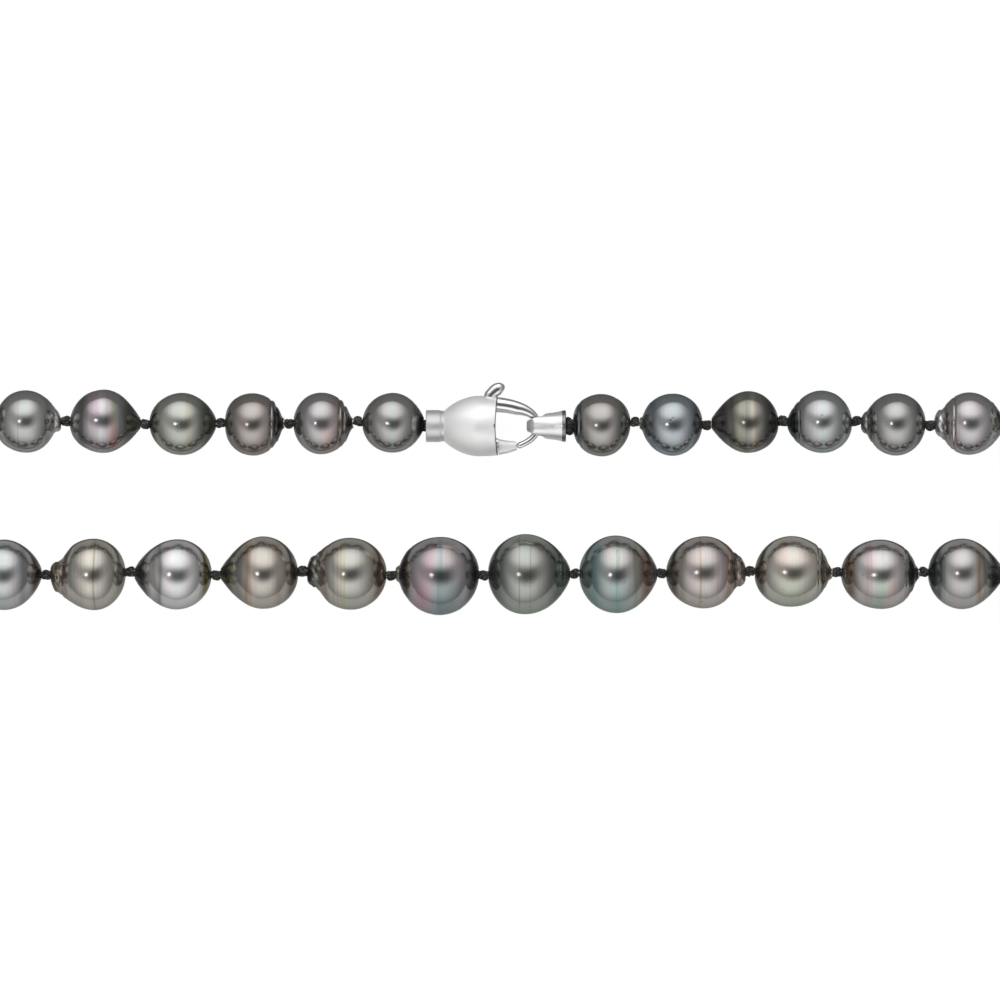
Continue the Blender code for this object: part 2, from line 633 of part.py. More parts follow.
def lever_outline():
    """Gate, boss, arm and thumb tab in one plan, about the pivot."""
    top = PIVOT_DROP
    gate_end = [
        (math.sqrt(GATE_REACH**2 - y * y), y)
        for y in (-0.6 * GATE_THICK, -1.0 * GATE_THICK, -1.35 * GATE_THICK)
    ]
    low = [(PIVOT_BACK + x, top - barrel_radius(x) + 0.06 * MM)
           for x in (0.30 * HOOK_REACH, 0.15 * HOOK_REACH, 1.2 * RUN_GAP)]
    inside = barrel_radius(0.0) - BARREL_WALL
    under = top - math.sqrt(inside**2 - (0.5 * LEVER_WIDTH) ** 2) + 2.0 * RUN_GAP
    heel = [(PIVOT_BACK + 1.2 * RUN_GAP, under), (PIVOT_BACK - RUN_GAP, under)]
    boss = round_points(0.0, 0.0, BOSS_RADIUS, -75.0, -225.0, 7)
    stem_front = PIVOT_BACK - HOOK_BAND - RUN_GAP
    stem_back = stem_front - TAB_THICK
    crown = top + barrel_radius(-HOOK_BAND)
    arm = [(stem_back, crown - BARREL_WALL - RUN_GAP), (stem_back, crown + 0.1 * MM)]
    tip_x, tip_y = stem_back + TAB_LEAN, crown + TAB_RISE - 0.5 * TAB_THICK
    tab = round_points(tip_x, tip_y, 0.5 * TAB_THICK, 125.0, -55.0, 6)
    front = [(stem_front, crown + 0.2 * MM), (stem_front, crown - BARREL_WALL - RUN_GAP)]
    inner = [(0.75 * BOSS_RADIUS, 0.95 * BOSS_RADIUS)]
    gate_top = [(PIVOT_BACK, -0.28 * GATE_THICK)]
    return gate_end + low + heel + boss + arm + tab + front + inner + gate_top


def build_lever(empties, finish, steel):
    half = 0.5 * LEVER_WIDTH
    mesh = prism_mesh("trigger_lever", lever_outline(), -half, half)
    lever = add_object("trigger_lever", mesh, finish, PIVOT_AT)
    hole = rod_mesh("hole", PIN_RADIUS + FIT_GAP, 2.0 * half)
    boolean(lever, hole, "DIFFERENCE", PIVOT_AT)
    carry(lever, empties["clasp_span"])
    pin = rod_mesh("lever_pin", PIN_RADIUS, pin_half_length())
    carry(add_object("lever_pin", pin, steel, PIVOT_AT), empties["clasp_span"])
    back = -BARREL_LENGTH - NECK_LENGTH - COLLAR_LENGTH + CUP_DEPTH + BULKHEAD
    start = back + SPRING_WIRE + 0.1 * MM
    height = PIVOT_DROP + 0.02 * MM
    lowest = PIVOT_DROP + height - SPRING_RADIUS - SPRING_WIRE
    lean = (PIVOT_BACK - HOOK_BAND - RUN_GAP - TAB_THICK) + BOSS_RADIUS
    rise = PIVOT_DROP + barrel_radius(-HOOK_BAND)
    end = -PIVOT_BACK - BOSS_RADIUS + lean * lowest / rise - SPRING_WIRE - RUN_GAP
    steps = 9 * SPRING_TURNS
    points = []
    for i in range(steps + 1):
        angle = 2 * math.pi * SPRING_TURNS * i / steps
        x = start + (end - start) * i / steps
        y = height + SPRING_RADIUS * math.cos(angle)
        points.append(Vector((x, y, SPRING_RADIUS * math.sin(angle))))
    coil = tube_curve("return_spring", points, SPRING_WIRE)
    carry(add_object("return_spring", coil, steel, CLASP_AT), empties["clasp_span"])


def build_tail(empties, finish):
    ring = RING_HOLE + 0.5 * RING_WALL
    high = RING_HALF_HEIGHT
    outer = RING_HOLE + RING_WALL
    edge = outer - 0.16 * RING_WALL
    line = [(-high, 0.0), (-high, edge), (-0.62 * high, outer), (0.62 * high, outer)]
    line += [(high, edge), (high, 0.0)]
    tail = add_object("tail_piece", turned_mesh("tail_piece", line, 20, "Y"), finish, TAIL_AT)
    start, rim = RING_HOLE + 0.1 * MM, TAIL_LENGTH
    cup = [(start, 0.0), (start, 0.66 * TAIL_RADIUS), (0.42 * rim, 0.80 * TAIL_RADIUS)]
    cup += [(0.66 * rim, 0.88 * TAIL_RADIUS), (0.84 * rim, 0.99 * TAIL_RADIUS)]
    cup += [(0.93 * rim, TAIL_RADIUS), (rim, TAIL_RADIUS - 0.2 * MM)]
    floor = rim - TAIL_CUP_DEPTH
    cup += [(rim, TAIL_CUP_RADIUS), (floor, TAIL_CUP_RADIUS), (floor, 0.0)]
    boolean(tail, turned_mesh("cup", cup, TURN_SIDES), "UNION", TAIL_AT)
    over = 1.6 * high
    flare = ring
    hole = [(-over, 0.0), (-over, flare), (-high, flare)]
    hole += [(-0.6 * high, RING_HOLE + 0.06 * MM), (0.0, RING_HOLE)]
    hole += [(0.6 * high, RING_HOLE + 0.06 * MM), (high, flare), (over, flare), (over, 0.0)]
    boolean(tail, turned_mesh("eye", hole, 20, "Y"), "DIFFERENCE", TAIL_AT)
    seat = rod_mesh("seat", BAR_RADIUS + FIT_GAP, TAIL_CUP_RADIUS + BAR_SEAT + FIT_GAP)
    boolean(tail, seat, "DIFFERENCE", tail_bar())
    carry(tail, empties["right_span_1"])


def build_bars(empties, finish):
    for name, at, cup, span in (
        ("collar_bar", collar_bar(), CUP_RADIUS, "clasp_span"),
        ("tail_bar", tail_bar(), TAIL_CUP_RADIUS, "right_span_1"),
    ):
        mesh = rod_mesh(name, BAR_RADIUS, cup + BAR_SEAT)
        carry(add_object(name, mesh, finish, at), empties[span])


def main():
    clear_scene()
    metal = material("white_metal", (0.80, 0.80, 0.79), 0.12, 1.0)
    steel = material("spring_steel", (0.55, 0.55, 0.55), 0.3, 1.0)
    empties = span_empties()
    build_pearls(empties)
    build_silk(empties)
    build_clasp_body(empties, metal)
    build_lever(empties, metal, steel)
    build_tail(empties, metal)
    build_bars(empties, metal)
    print(f"{len(PEARLS)} pearls, {sum(link_length(p) for p in PEARLS) / MM:.0f} mm of strand")


main()
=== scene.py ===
# %% [markdown]
# # A graduated necklace of dark pearls
# The necklace lies in two rows on a white table and is seen from straight above. It is a
# closed strand of 41 drilled baroque pearls, knotted on black silk and shut by a claw
# clasp of polished white metal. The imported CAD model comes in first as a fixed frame:
# it says where every pearl, knot and hinge is, and each piece made below is laid on it.

# %% Load the frame
import json
import math
from collections import namedtuple

import bmesh
import bpy
import numpy as np
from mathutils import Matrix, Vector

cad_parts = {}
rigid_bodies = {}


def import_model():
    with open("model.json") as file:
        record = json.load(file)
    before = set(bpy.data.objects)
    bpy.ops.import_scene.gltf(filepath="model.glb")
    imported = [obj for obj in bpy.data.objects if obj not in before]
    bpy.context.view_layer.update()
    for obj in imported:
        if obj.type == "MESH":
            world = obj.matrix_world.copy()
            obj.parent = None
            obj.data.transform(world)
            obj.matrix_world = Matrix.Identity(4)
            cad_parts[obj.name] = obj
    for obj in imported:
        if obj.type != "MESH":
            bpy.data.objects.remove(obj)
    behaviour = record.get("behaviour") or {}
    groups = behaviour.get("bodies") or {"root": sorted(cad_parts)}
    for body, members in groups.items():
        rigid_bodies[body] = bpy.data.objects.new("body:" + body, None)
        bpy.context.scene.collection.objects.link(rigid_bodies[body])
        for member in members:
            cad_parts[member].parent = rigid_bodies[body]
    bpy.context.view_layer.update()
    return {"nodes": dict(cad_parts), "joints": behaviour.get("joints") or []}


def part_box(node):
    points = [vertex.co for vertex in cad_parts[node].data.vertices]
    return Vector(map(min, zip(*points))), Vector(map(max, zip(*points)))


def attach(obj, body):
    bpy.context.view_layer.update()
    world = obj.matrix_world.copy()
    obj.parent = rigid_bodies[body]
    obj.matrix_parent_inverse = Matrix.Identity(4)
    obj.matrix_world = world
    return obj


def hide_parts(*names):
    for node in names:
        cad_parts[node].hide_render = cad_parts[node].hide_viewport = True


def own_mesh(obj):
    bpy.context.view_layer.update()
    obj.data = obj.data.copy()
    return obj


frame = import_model()
MM = 0.001
joint_named = {joint["name"]: joint for joint in frame["joints"]}

# %% [markdown]
# ## Camera
# The photo looks straight down on the two rows and both rows run out of it at the left and
# right. 1000 pixels cover 129 mm at the height of the pearls' widest rings. A long lens
# from far away could be replaced by an orthographic camera, but a lens keeps the slight
# sideways view of the pearls near the edges that the photo has.

# %% A long lens straight above the clasp
VIEW_WIDTH = 129.0 * MM
VIEW_FROM = 0.9
VIEW_MIDDLE = (-1.5 * MM, -0.34 * MM)
RING_HEIGHT = 4.3 * MM
SENSOR = 36.0

lens = bpy.data.cameras.new("photo_camera")
lens.sensor_width = SENSOR
lens.lens = SENSOR * (VIEW_FROM - RING_HEIGHT) / VIEW_WIDTH
lens.clip_end = 20.0
camera = bpy.data.objects.new("photo_camera", lens)
camera.location = (*VIEW_MIDDLE, VIEW_FROM)
bpy.context.scene.collection.objects.link(camera)
bpy.context.scene.camera = camera
bpy.context.scene.view_settings.view_transform = "Standard"
print(f"lens of {lens.lens:.0f} mm at {VIEW_FROM} m")

# %% [markdown]
# ## Node helpers
# Materials are graphs of small steps. A graph could be drawn by hand in the node editor;
# in code, a few short functions keep it readable. Each adds one kind of step, such as
# arithmetic, a smooth ramp or cloudy noise, and hands on its output.

# %% Arithmetic and ramps for shader graphs


def plug(tree, socket, value):
    """Link a socket, or set a plain number or colour on it."""
    if isinstance(value, bpy.types.NodeSocket):
        tree.links.new(value, socket)
    else:
        socket.default_value = value


def sums(tree, operation, *values):
    """One arithmetic step of a graph, and its output."""
    node = tree.nodes.new("ShaderNodeMath")
    node.operation = operation
    for socket, value in zip(node.inputs, values):
        plug(tree, socket, value)
    return node.outputs[0]


def product(tree, first, *others):
    """A value multiplied by one or more others."""
    for other in others:
        first = sums(tree, "MULTIPLY", first, other)
    return first


def ramp(tree, value, start, end, low=0.0, high=1.0):
    """A smooth step of value from low, at start, to high, at end."""
    node = tree.nodes.new("ShaderNodeMapRange")
    node.interpolation_type = "SMOOTHSTEP"
    for name, setting in (("Value", value), ("From Min", start), ("From Max", end),
                          ("To Min", low), ("To Max", high)):
        plug(tree, node.inputs[name], setting)
    return node.outputs[0]


print("steps of arithmetic ready")

# %% Colours, noise and relief for shader graphs


def blend(tree, share, first, second, way="MIX"):
    """Colour first turned into second by a share from 0 to 1."""
    node = tree.nodes.new("ShaderNodeMix")
    node.data_type = "RGBA"
    node.blend_type = way
    plug(tree, node.inputs[0], share)
    plug(tree, node.inputs[6], first)
    plug(tree, node.inputs[7], second)
    return node.outputs[2]


def noise(tree, place, scale, detail=2.0, dimensions="3D"):
    """Cloudy noise, read at a place or, in one dimension, at a number."""
    node = tree.nodes.new("ShaderNodeTexNoise")
    node.noise_dimensions = dimensions
    plug(tree, node.inputs["W" if dimensions == "1D" else "Vector"], place)
    node.inputs["Scale"].default_value = scale
    node.inputs["Detail"].default_value = detail
    return node.outputs["Fac"]


def chart_places(tree):
    """The two numbers of a piece's own chart: how far along it, and how far round."""
    chart = tree.nodes.new("ShaderNodeUVMap")
    chart.uv_map = "chart"
    split = tree.nodes.new("ShaderNodeSeparateXYZ")
    tree.links.new(chart.outputs[0], split.inputs[0])
    return split.outputs[0], split.outputs[1]


def add_bump(tree, shader, height, strength, distance):
    """Fine relief on a shader's normal."""
    bump = tree.nodes.new("ShaderNodeBump")
    bump.inputs["Strength"].default_value = strength
    bump.inputs["Distance"].default_value = distance
    tree.links.new(height, bump.inputs["Height"])
    tree.links.new(bump.outputs[0], shader.inputs["Normal"])


def new_material(name, roughness, metallic):
    """An empty material: its graph, and its one shader with plain settings."""
    made = bpy.data.materials.new(name)
    made.use_nodes = True
    shader = made.node_tree.nodes["Principled BSDF"]
    shader.inputs["Roughness"].default_value = roughness
    shader.inputs["Metallic"].default_value = metallic
    return made, made.node_tree, shader


print("steps of colour ready")

# %% [markdown]
# ## Studio
# Pearls and polished metal are mirrors, so what surrounds them is half of their look. The
# pearls in the photo show one wide bright panel overhead, grey walls to the left and
# right, and the dark shape of the camera in the middle. The world paints that round the
# scene. Position in it is measured the way a round pearl sees it from above: a direction
# (x, y, z) lies at (x, y) / (1 + z), which is 0 overhead and 1 at the horizon.

# %% Places and levels in the studio
LIGHT, WALL, WHITE = 1.25, 0.20, 1.06
# Panel: its place across, half width and steepness, its fades below and above, its level
# in the middle and how that grows upwards
PANEL_AT, PANEL_WIDTH, PANEL_POWER = -0.04, 0.50, 2.4
FADE_BELOW, FADE_ABOVE = (-1.25, -0.42), (0.5, 1.35)
PANEL_LEVEL, PANEL_GROWTH = 1.07, 0.45
# Camera: its place upwards, half width, steepness and bend, then the place across, half
# width, steepness and depth of its two dark parts
CAMERA_AT, CAMERA_WIDTH, CAMERA_POWER, CAMERA_BEND = -0.025, 0.23, 3.0, 0.8
CAMERA_PARTS = ((0.06, 0.28, 3.0, 0.34), (-0.04, 0.58, 4.0, 0.60))
# Lamp: its place across, the squares of its inner and outer radius, and its level
LAMP_AT, LAMP_EDGE, LAMP_LEVEL = -0.19, (0.0008, 0.0022), 3.5
print("wall level", WALL * LIGHT, "and panel level", PANEL_LEVEL * LIGHT)

# %% A bright panel, grey walls and a dark camera
world = bpy.data.worlds.new("studio")
bpy.context.scene.world = world
world.use_nodes = True
sky = world.node_tree


def hump(value, width, power):
    """1 at zero, falling to nothing on both sides: exp(-|value / width|^power)."""
    share = sums(sky, "DIVIDE", sums(sky, "ABSOLUTE", value), width)
    return sums(sky, "EXPONENT", product(sky, sums(sky, "POWER", share, power), -1.0))


axes = sky.nodes.new("ShaderNodeSeparateXYZ")
sky.links.new(sky.nodes.new("ShaderNodeTexCoord").outputs["Generated"], axes.inputs[0])
depth = sums(sky, "MAXIMUM", sums(sky, "ADD", axes.outputs[2], 1.0), 0.05)
across = sums(sky, "DIVIDE", axes.outputs[0], depth)
upward = sums(sky, "DIVIDE", axes.outputs[1], depth)
panel = product(sky, hump(sums(sky, "SUBTRACT", across, PANEL_AT), PANEL_WIDTH, PANEL_POWER),
                ramp(sky, upward, *FADE_BELOW), ramp(sky, upward, *FADE_ABOVE, 1.0, 0.0),
                sums(sky, "MULTIPLY_ADD", upward, PANEL_GROWTH, PANEL_LEVEL))
level = sums(sky, "ADD", panel, WALL)

# The camera and its support: a dark crescent, deepest in the middle
bend = product(sky, product(sky, across, across), CAMERA_BEND)
crescent = sums(sky, "SUBTRACT", sums(sky, "SUBTRACT", upward, CAMERA_AT), bend)
crescent = hump(crescent, CAMERA_WIDTH, CAMERA_POWER)
core = sums(sky, "ADD", *(
    product(sky, hump(sums(sky, "SUBTRACT", across, at), width, power), depth)
    for at, width, power, depth in CAMERA_PARTS))
level = product(sky, level, sums(sky, "SUBTRACT", 1.0, product(sky, crescent, core)))

# One small lamp beside the lens
lamp = sums(sky, "ADD", sums(sky, "POWER", sums(sky, "SUBTRACT", across, LAMP_AT), 2.0),
            sums(sky, "POWER", upward, 2.0))
level = sums(sky, "ADD", level, ramp(sky, lamp, *LAMP_EDGE, LAMP_LEVEL, 0.0))

# What the camera itself sees past the table's edge is plain white
seen = sky.nodes.new("ShaderNodeLightPath").outputs["Is Camera Ray"]
level = product(sky, product(sky, level, LIGHT), sums(sky, "SUBTRACT", 1.0, seen))
background = sky.nodes["Background"]
sky.links.new(sums(sky, "MULTIPLY_ADD", seen, WHITE, level), background.inputs["Strength"])
background.inputs["Color"].default_value = (1.0, 1.0, 1.0, 1.0)
print("studio painted:", len(sky.nodes), "nodes")

# %% [markdown]
# The table is white and almost shadowless, like the photo's background. A plain white
# plane could do, but the strand has to show also in the poses where a fold hangs below
# the table's level. So for the camera the table is a thin white veil over a deeper white
# sheet. For all other light it is a white table that throws light back up on the pearls,
# with a painted shadow behind each row: a darker strip in the table's colour. The pearls'
# upper rims mirror it as the dark edge that they have in the photo.

# %% Finishes of the table and the backdrop
SHADOW_SHARE = 0.09
PALE, DARK = (0.84, 0.84, 0.84, 1.0), (0.18, 0.18, 0.18, 1.0)
# Soft edges of the painted shadow strips along Y: the two of the one between the rows, and
# the first of the one behind the upper row, with how dark that one is
STRIP_START, STRIP_END = (-6.5 * MM, -4.0 * MM), (-3.5 * MM, -1.5 * MM)
BACK_START, BACK_SHARE = (11.5 * MM, 14.5 * MM), 0.8


def bare_material(name):
    """A material with nothing in its graph but the output."""
    made = bpy.data.materials.new(name)
    made.use_nodes = True
    made.node_tree.nodes.remove(made.node_tree.nodes["Principled BSDF"])
    return made, made.node_tree


table_finish, veil = bare_material("white_table")
white = veil.nodes.new("ShaderNodeBsdfDiffuse")
spot = veil.nodes.new("ShaderNodeSeparateXYZ")
veil.links.new(veil.nodes.new("ShaderNodeTexCoord").outputs["Object"], spot.inputs[0])
path = veil.nodes.new("ShaderNodeLightPath")
# Painted shadow: darker table colour between the rows and behind the upper row, unseen by the
# camera
painted_shadow_strips = sums(veil, "ADD",
              product(veil, ramp(veil, spot.outputs[1], *STRIP_START),
                      ramp(veil, spot.outputs[1], *STRIP_END, 1.0, 0.0)),
              ramp(veil, spot.outputs[1], *BACK_START, 0.0, BACK_SHARE))
painted_shadow_strips = product(veil, painted_shadow_strips, sums(veil, "SUBTRACT", 1.0, path.outputs["Is Camera Ray"]))
veil.links.new(blend(veil, painted_shadow_strips, PALE, DARK), white.inputs["Color"])
clear = veil.nodes.new("ShaderNodeBsdfTransparent")
through = product(veil, path.outputs["Is Camera Ray"], 1.0 - SHADOW_SHARE)
below = veil.nodes.new("ShaderNodeNewGeometry").outputs["Backfacing"]
through = sums(veil, "MAXIMUM", through, below)
mixed = veil.nodes.new("ShaderNodeMixShader")
for source, socket in zip((through, white.outputs[0], clear.outputs[0]), mixed.inputs):
    veil.links.new(source, socket)
veil.links.new(mixed.outputs[0], veil.nodes["Material Output"].inputs["Surface"])

sheet_finish, glow = bare_material("white_sheet")
lit = glow.nodes.new("ShaderNodeEmission")
lit.inputs["Color"].default_value = (1.0, 1.0, 1.0, 1.0)
lit.inputs["Strength"].default_value = WHITE
glow.links.new(lit.outputs[0], glow.nodes["Material Output"].inputs["Surface"])
print("strips from", STRIP_START[0] / MM, "and", BACK_START[0] / MM, "mm")

# %% Table and backdrop
TABLE_DROP = 0.10 * MM
BACKDROP_DROP = 0.25
STAGE_HALF = 4.0


def flat_sheet(name, half, height, finish):
    """A square of the studio: four corners at one height."""
    corners = [(x * half, y * half, height) for x, y in ((-1, -1), (1, -1), (1, 1), (-1, 1))]
    mesh = bpy.data.meshes.new(name)
    mesh.from_pydata(corners, [], [(0, 1, 2, 3)])
    mesh.materials.append(finish)
    made = bpy.data.objects.new(name, mesh)
    bpy.context.scene.collection.objects.link(made)
    return made


flat_sheet("table", STAGE_HALF, -TABLE_DROP, table_finish)
backdrop = flat_sheet("backdrop", STAGE_HALF, -BACKDROP_DROP, sheet_finish)
backdrop.visible_diffuse = False
backdrop.visible_glossy = False
print("table at", -TABLE_DROP / MM, "mm")

# %% [markdown]
# ## Surfaces from grids
# Nearly every piece here is a surface over a grid of two parameters, such as a place along
# a pearl's axis and an angle round it. Numpy works out all the points in one go, and the
# same four-corner pattern joins neighbours into faces. A wrapped grid closes on itself.

# %% Grids and charts
Grid = namedtuple("Grid", "points faces chart")


def grid(points, wrap_rows=False, wrap_columns=True):
    """Faces and a 0 to 1 chart for an array of points, rows by columns.

    Each face takes a point, its neighbour in the next column, the one beyond in the next
    row, and the one in its own column there, so that it faces outwards where the rows run
    along a right-handed axis.
    """
    rows, columns = points.shape[:2]
    i, j = np.meshgrid(np.arange(rows if wrap_rows else rows - 1),
                       np.arange(columns if wrap_columns else columns - 1), indexing="ij")
    down, on = (i + 1) % rows, (j + 1) % columns
    corners = (i * columns + j, i * columns + on, down * columns + on, down * columns + j)
    faces = np.stack(corners, axis=-1).reshape(-1, 4)
    u = np.stack([i, i, i + 1, i + 1], axis=-1) / (rows if wrap_rows else rows - 1)
    v = np.stack([j, j + 1, j + 1, j], axis=-1) / (columns if wrap_columns else columns - 1)
    return Grid(points.reshape(-1, 3), faces, np.stack([u, v], axis=-1).reshape(-1, 2))


def joined(grids):
    """Several grids as one, with their points numbered on."""
    starts = np.cumsum([0] + [len(g.points) for g in grids[:-1]])
    faces = np.concatenate([g.faces + start for g, start in zip(grids, starts)])
    return Grid(np.concatenate([g.points for g in grids]), faces,
                np.concatenate([g.chart for g in grids]))


print("grids ready")

# %% Mesh objects


def make_piece(name, shape, finish, close=False, crease=None):
    """A smooth mesh object at the origin; close joins poles and fills open ends."""
    mesh = bpy.data.meshes.new(name)
    mesh.vertices.add(len(shape.points))
    mesh.vertices.foreach_set("co", shape.points.astype(np.float32).ravel())
    mesh.loops.add(shape.faces.size)
    mesh.loops.foreach_set("vertex_index", shape.faces.astype(np.int32).ravel())
    mesh.polygons.add(len(shape.faces))
    mesh.polygons.foreach_set("loop_start", np.arange(0, shape.faces.size, 4, dtype=np.int32))
    mesh.update(calc_edges=True)
    chart = mesh.uv_layers.new(name="chart")
    chart.data.foreach_set("uv", shape.chart.astype(np.float32).ravel())
    if close:
        bm = bmesh.new()
        bm.from_mesh(mesh)
        bmesh.ops.remove_doubles(bm, verts=bm.verts, dist=1e-7)
        bmesh.ops.holes_fill(bm, edges=bm.edges, sides=0)
        bm.to_mesh(mesh)
        bm.free()
    mesh.shade_smooth()
    if crease is not None:
        mesh.set_sharp_from_angle(angle=math.radians(crease))
    mesh.materials.append(finish)
    made = bpy.data.objects.new(name, mesh)
    bpy.context.scene.collection.objects.link(made)
    return made


def node_points(name):
    """All corners of a CAD node as an array."""
    mesh = frame["nodes"][name].data
    flat = np.empty(3 * len(mesh.vertices), dtype=np.float32)
    mesh.vertices.foreach_get("co", flat)
    return flat.reshape(-1, 3).astype(float)


print("mesh helpers ready")

# %% [markdown]
# ## Nacre
# Nacre is thin clear layers over a dark base: it mirrors like a soft metal, tinted, with a
# finer sheen on top. Each pearl carries its own tint, worked out per point further down
# and read here as an attribute. The shared node group adds what all of them have: faint
# growth rings round the drilled axis, broad shifts of hue, cloudy patches and fine pits.

# %% Node group for the layers of nacre
# Sizes of the patterns: larger numbers are finer. Rings and hues are counted along a pearl
WANDER, RINGS, HUES, CLOUDS, PITS, PATCHES = 420.0, 70.0, 11.0, 650.0, 900.0, 260.0
COOL_HUE, WARM_HUE = (0.965, 1.01, 0.995, 1.0), (1.03, 0.985, 0.985, 1.0)
CLOUD_TINT, RING_TINT = (0.30, 0.30, 0.31, 1.0), (0.16, 0.155, 0.14, 1.0)
PIT_TINT = (0.10, 0.10, 0.10, 1.0)

layers = bpy.data.node_groups.new("nacre_layers", "ShaderNodeTree")
for way, names in (("INPUT", ("Tint", "Along", "Rings", "Pits")),
                   ("OUTPUT", ("Color", "Roughness", "Height"))):
    for name in names:
        kind = "NodeSocketColor" if name in ("Tint", "Color") else "NodeSocketFloat"
        layers.interface.new_socket(name, in_out=way, socket_type=kind)
given = layers.nodes.new("NodeGroupInput")
result = layers.nodes.new("NodeGroupOutput")
place = layers.nodes.new("ShaderNodeTexCoord").outputs["Object"]
wander = noise(layers, place, WANDER)
ring_at = sums(layers, "ADD", given.outputs["Along"], product(layers, wander, 0.02))
fine = noise(layers, ring_at, RINGS, 3.0, "1D")
broad = noise(layers, ring_at, HUES, 1.0, "1D")
cloud = noise(layers, place, CLOUDS, 3.0)
cells = layers.nodes.new("ShaderNodeTexVoronoi")
layers.links.new(place, cells.inputs["Vector"])
cells.inputs["Scale"].default_value = PITS

line = product(layers, ramp(layers, fine, 0.56, 0.70), given.outputs["Rings"])
pits = product(layers, ramp(layers, cells.outputs["Distance"], 0.10, 0.22, 1.0, 0.0),
               ramp(layers, noise(layers, place, PATCHES, 1.0), 0.52, 0.62), given.outputs["Pits"])
hue = blend(layers, ramp(layers, broad, 0.3, 0.7), COOL_HUE, WARM_HUE)
colour = blend(layers, 1.0, given.outputs["Tint"], hue, "MULTIPLY")
colour = blend(layers, ramp(layers, cloud, 0.35, 0.75, 0.0, 0.12), colour, CLOUD_TINT)
colour = blend(layers, line, colour, RING_TINT)
colour = blend(layers, product(layers, pits, 0.55), colour, PIT_TINT)
height = sums(layers, "SUBTRACT", product(layers, cloud, 0.5), product(layers, pits, 2.0))
height = sums(layers, "SUBTRACT", height, product(layers, line, 1.2))
layers.links.new(colour, result.inputs["Color"])
layers.links.new(ramp(layers, cloud, 0.3, 0.8, 0.13, 0.20), result.inputs["Roughness"])
layers.links.new(height, result.inputs["Height"])
print("nacre group:", len(layers.nodes), "nodes")

# %% [markdown]
# Where light grazes it, nacre mirrors in a greyer tint with a cast of green or blue. Each
# tone names that cast, and the shader's own edge tint takes it.

# %% One nacre material for each body tone
Tone = namedtuple("Tone", "rings pits edge")
TONES = {
    "charcoal": Tone(0.11, 0.2, (0.57, 0.62, 0.60, 1.0)),
    "grey": Tone(0.08, 0.2, (0.58, 0.62, 0.60, 1.0)),
    "green": Tone(0.12, 0.4, (0.53, 0.62, 0.56, 1.0)),
    "bronze": Tone(0.16, 0.4, (0.60, 0.60, 0.54, 1.0)),
    "blue": Tone(0.08, 0.6, (0.54, 0.60, 0.63, 1.0)),
    "mauve": Tone(0.11, 0.2, (0.57, 0.63, 0.57, 1.0)),
}


def nacre_material(tone):
    """The shared layers over this tone, with the pearl's own tint as an attribute."""
    made, tree, shader = new_material(f"nacre_{tone}", 0.18, 0.92)
    tint = tree.nodes.new("ShaderNodeAttribute")
    tint.attribute_name = "tint"
    group = tree.nodes.new("ShaderNodeGroup")
    group.node_tree = layers
    tree.links.new(tint.outputs["Color"], group.inputs["Tint"])
    tree.links.new(chart_places(tree)[0], group.inputs["Along"])
    group.inputs["Rings"].default_value = TONES[tone].rings
    group.inputs["Pits"].default_value = TONES[tone].pits
    tree.links.new(group.outputs["Color"], shader.inputs["Base Color"])
    tree.links.new(group.outputs["Roughness"], shader.inputs["Roughness"])
    add_bump(tree, shader, group.outputs["Height"], 0.35, 0.02 * MM)
    shader.inputs["Specular Tint"].default_value = TONES[tone].edge
    shader.inputs["Coat Weight"].default_value = 0.25
    shader.inputs["Coat Roughness"].default_value = 0.05
    return made


nacre = {tone: nacre_material(tone) for tone in TONES}
print("nacre tones:", ", ".join(nacre))

# %% [markdown]
# ## Pearls
# A drilled pearl is nearly a body of revolution about its hole, so its surface is a radius
# over two parameters: the share of the way from the widest ring to either mouth, and the
# angle round the hole. Sizes and places come from the CAD pearl. Scene work adds what its
# few facets can't hold: smooth ends, sunk rings, small nubs, lumps and pits.

# %% Profile of one end
FULLNESS = {"blunt": 0.40, "round": 0.50, "taper": 0.68, "slim": 0.80, "drop": 1.0}
# Small eggs on a shorter body: the body's length, then the egg's radius, place and length
EGGS = {"nub": (0.86, 0.37, 0.80, 0.225), "tip": (0.93, 0.22, 0.90, 0.13),
        "knob": (0.84, 0.43, 0.82, 0.20)}
# A ringed end: the round body's length, then where the cone starts, its length and radii
RINGED = (0.93, 0.64, 0.40, 0.60, 0.26)
MOUTH = 0.66 * MM
BORE = 0.5 * MM


def soft_max(first, second, power):
    """The larger of two radii with the corner between them filled out."""
    return (first**power + second**power) ** (1.0 / power)


def arch(share):
    """Half of a circle's outline: 1 in the middle and 0 at a share of 1."""
    return np.sqrt(np.clip(1.0 - share**2, 1e-6, None))


def end_radius(form, share, radius):
    """Radius at a share of the reach, 0 at the widest ring and 1 at the mouth.

    Plain ends are radius * (1 - share^2)^fullness, cut off at the mouth. Some ends are a
    shorter round body with a small egg on it. A ringed end is a round body that meets a
    narrower cone.
    """
    if form in FULLNESS:
        power = FULLNESS[form]
        last = math.sqrt(1.0 - (MOUTH / radius) ** (1.0 / power))
        return radius * (1.0 - (share * last) ** 2) ** power
    if form in EGGS:
        body, size, place, length = EGGS[form]
        return radius * soft_max(arch(share / body), size * arch((share - place) / length), 4.5)
    body, start, length, wide, narrow = RINGED
    along = np.clip((share - start) / (1.0 - start), 0.0, 1.0)
    cone = (wide + (narrow - wide) * along) * arch((share - start) / length)
    return radius * soft_max(arch(share / body), cone, 8.0)


print("end forms:", ", ".join([*FULLNESS, *EGGS]), "and ringed")

# %% [markdown]
# Each row below describes one pearl as it lies: the form of its two ends going along the
# strand, its body tint, bands of other tints, single dark growth lines and sunk rings.
# Places along the pearl run from -1 at the end met first to +1 at the end met last. Few of
# the pearls are drilled quite through their middle, so a row can also say how far the
# body, or one of its ends, sits to the side of the hole.

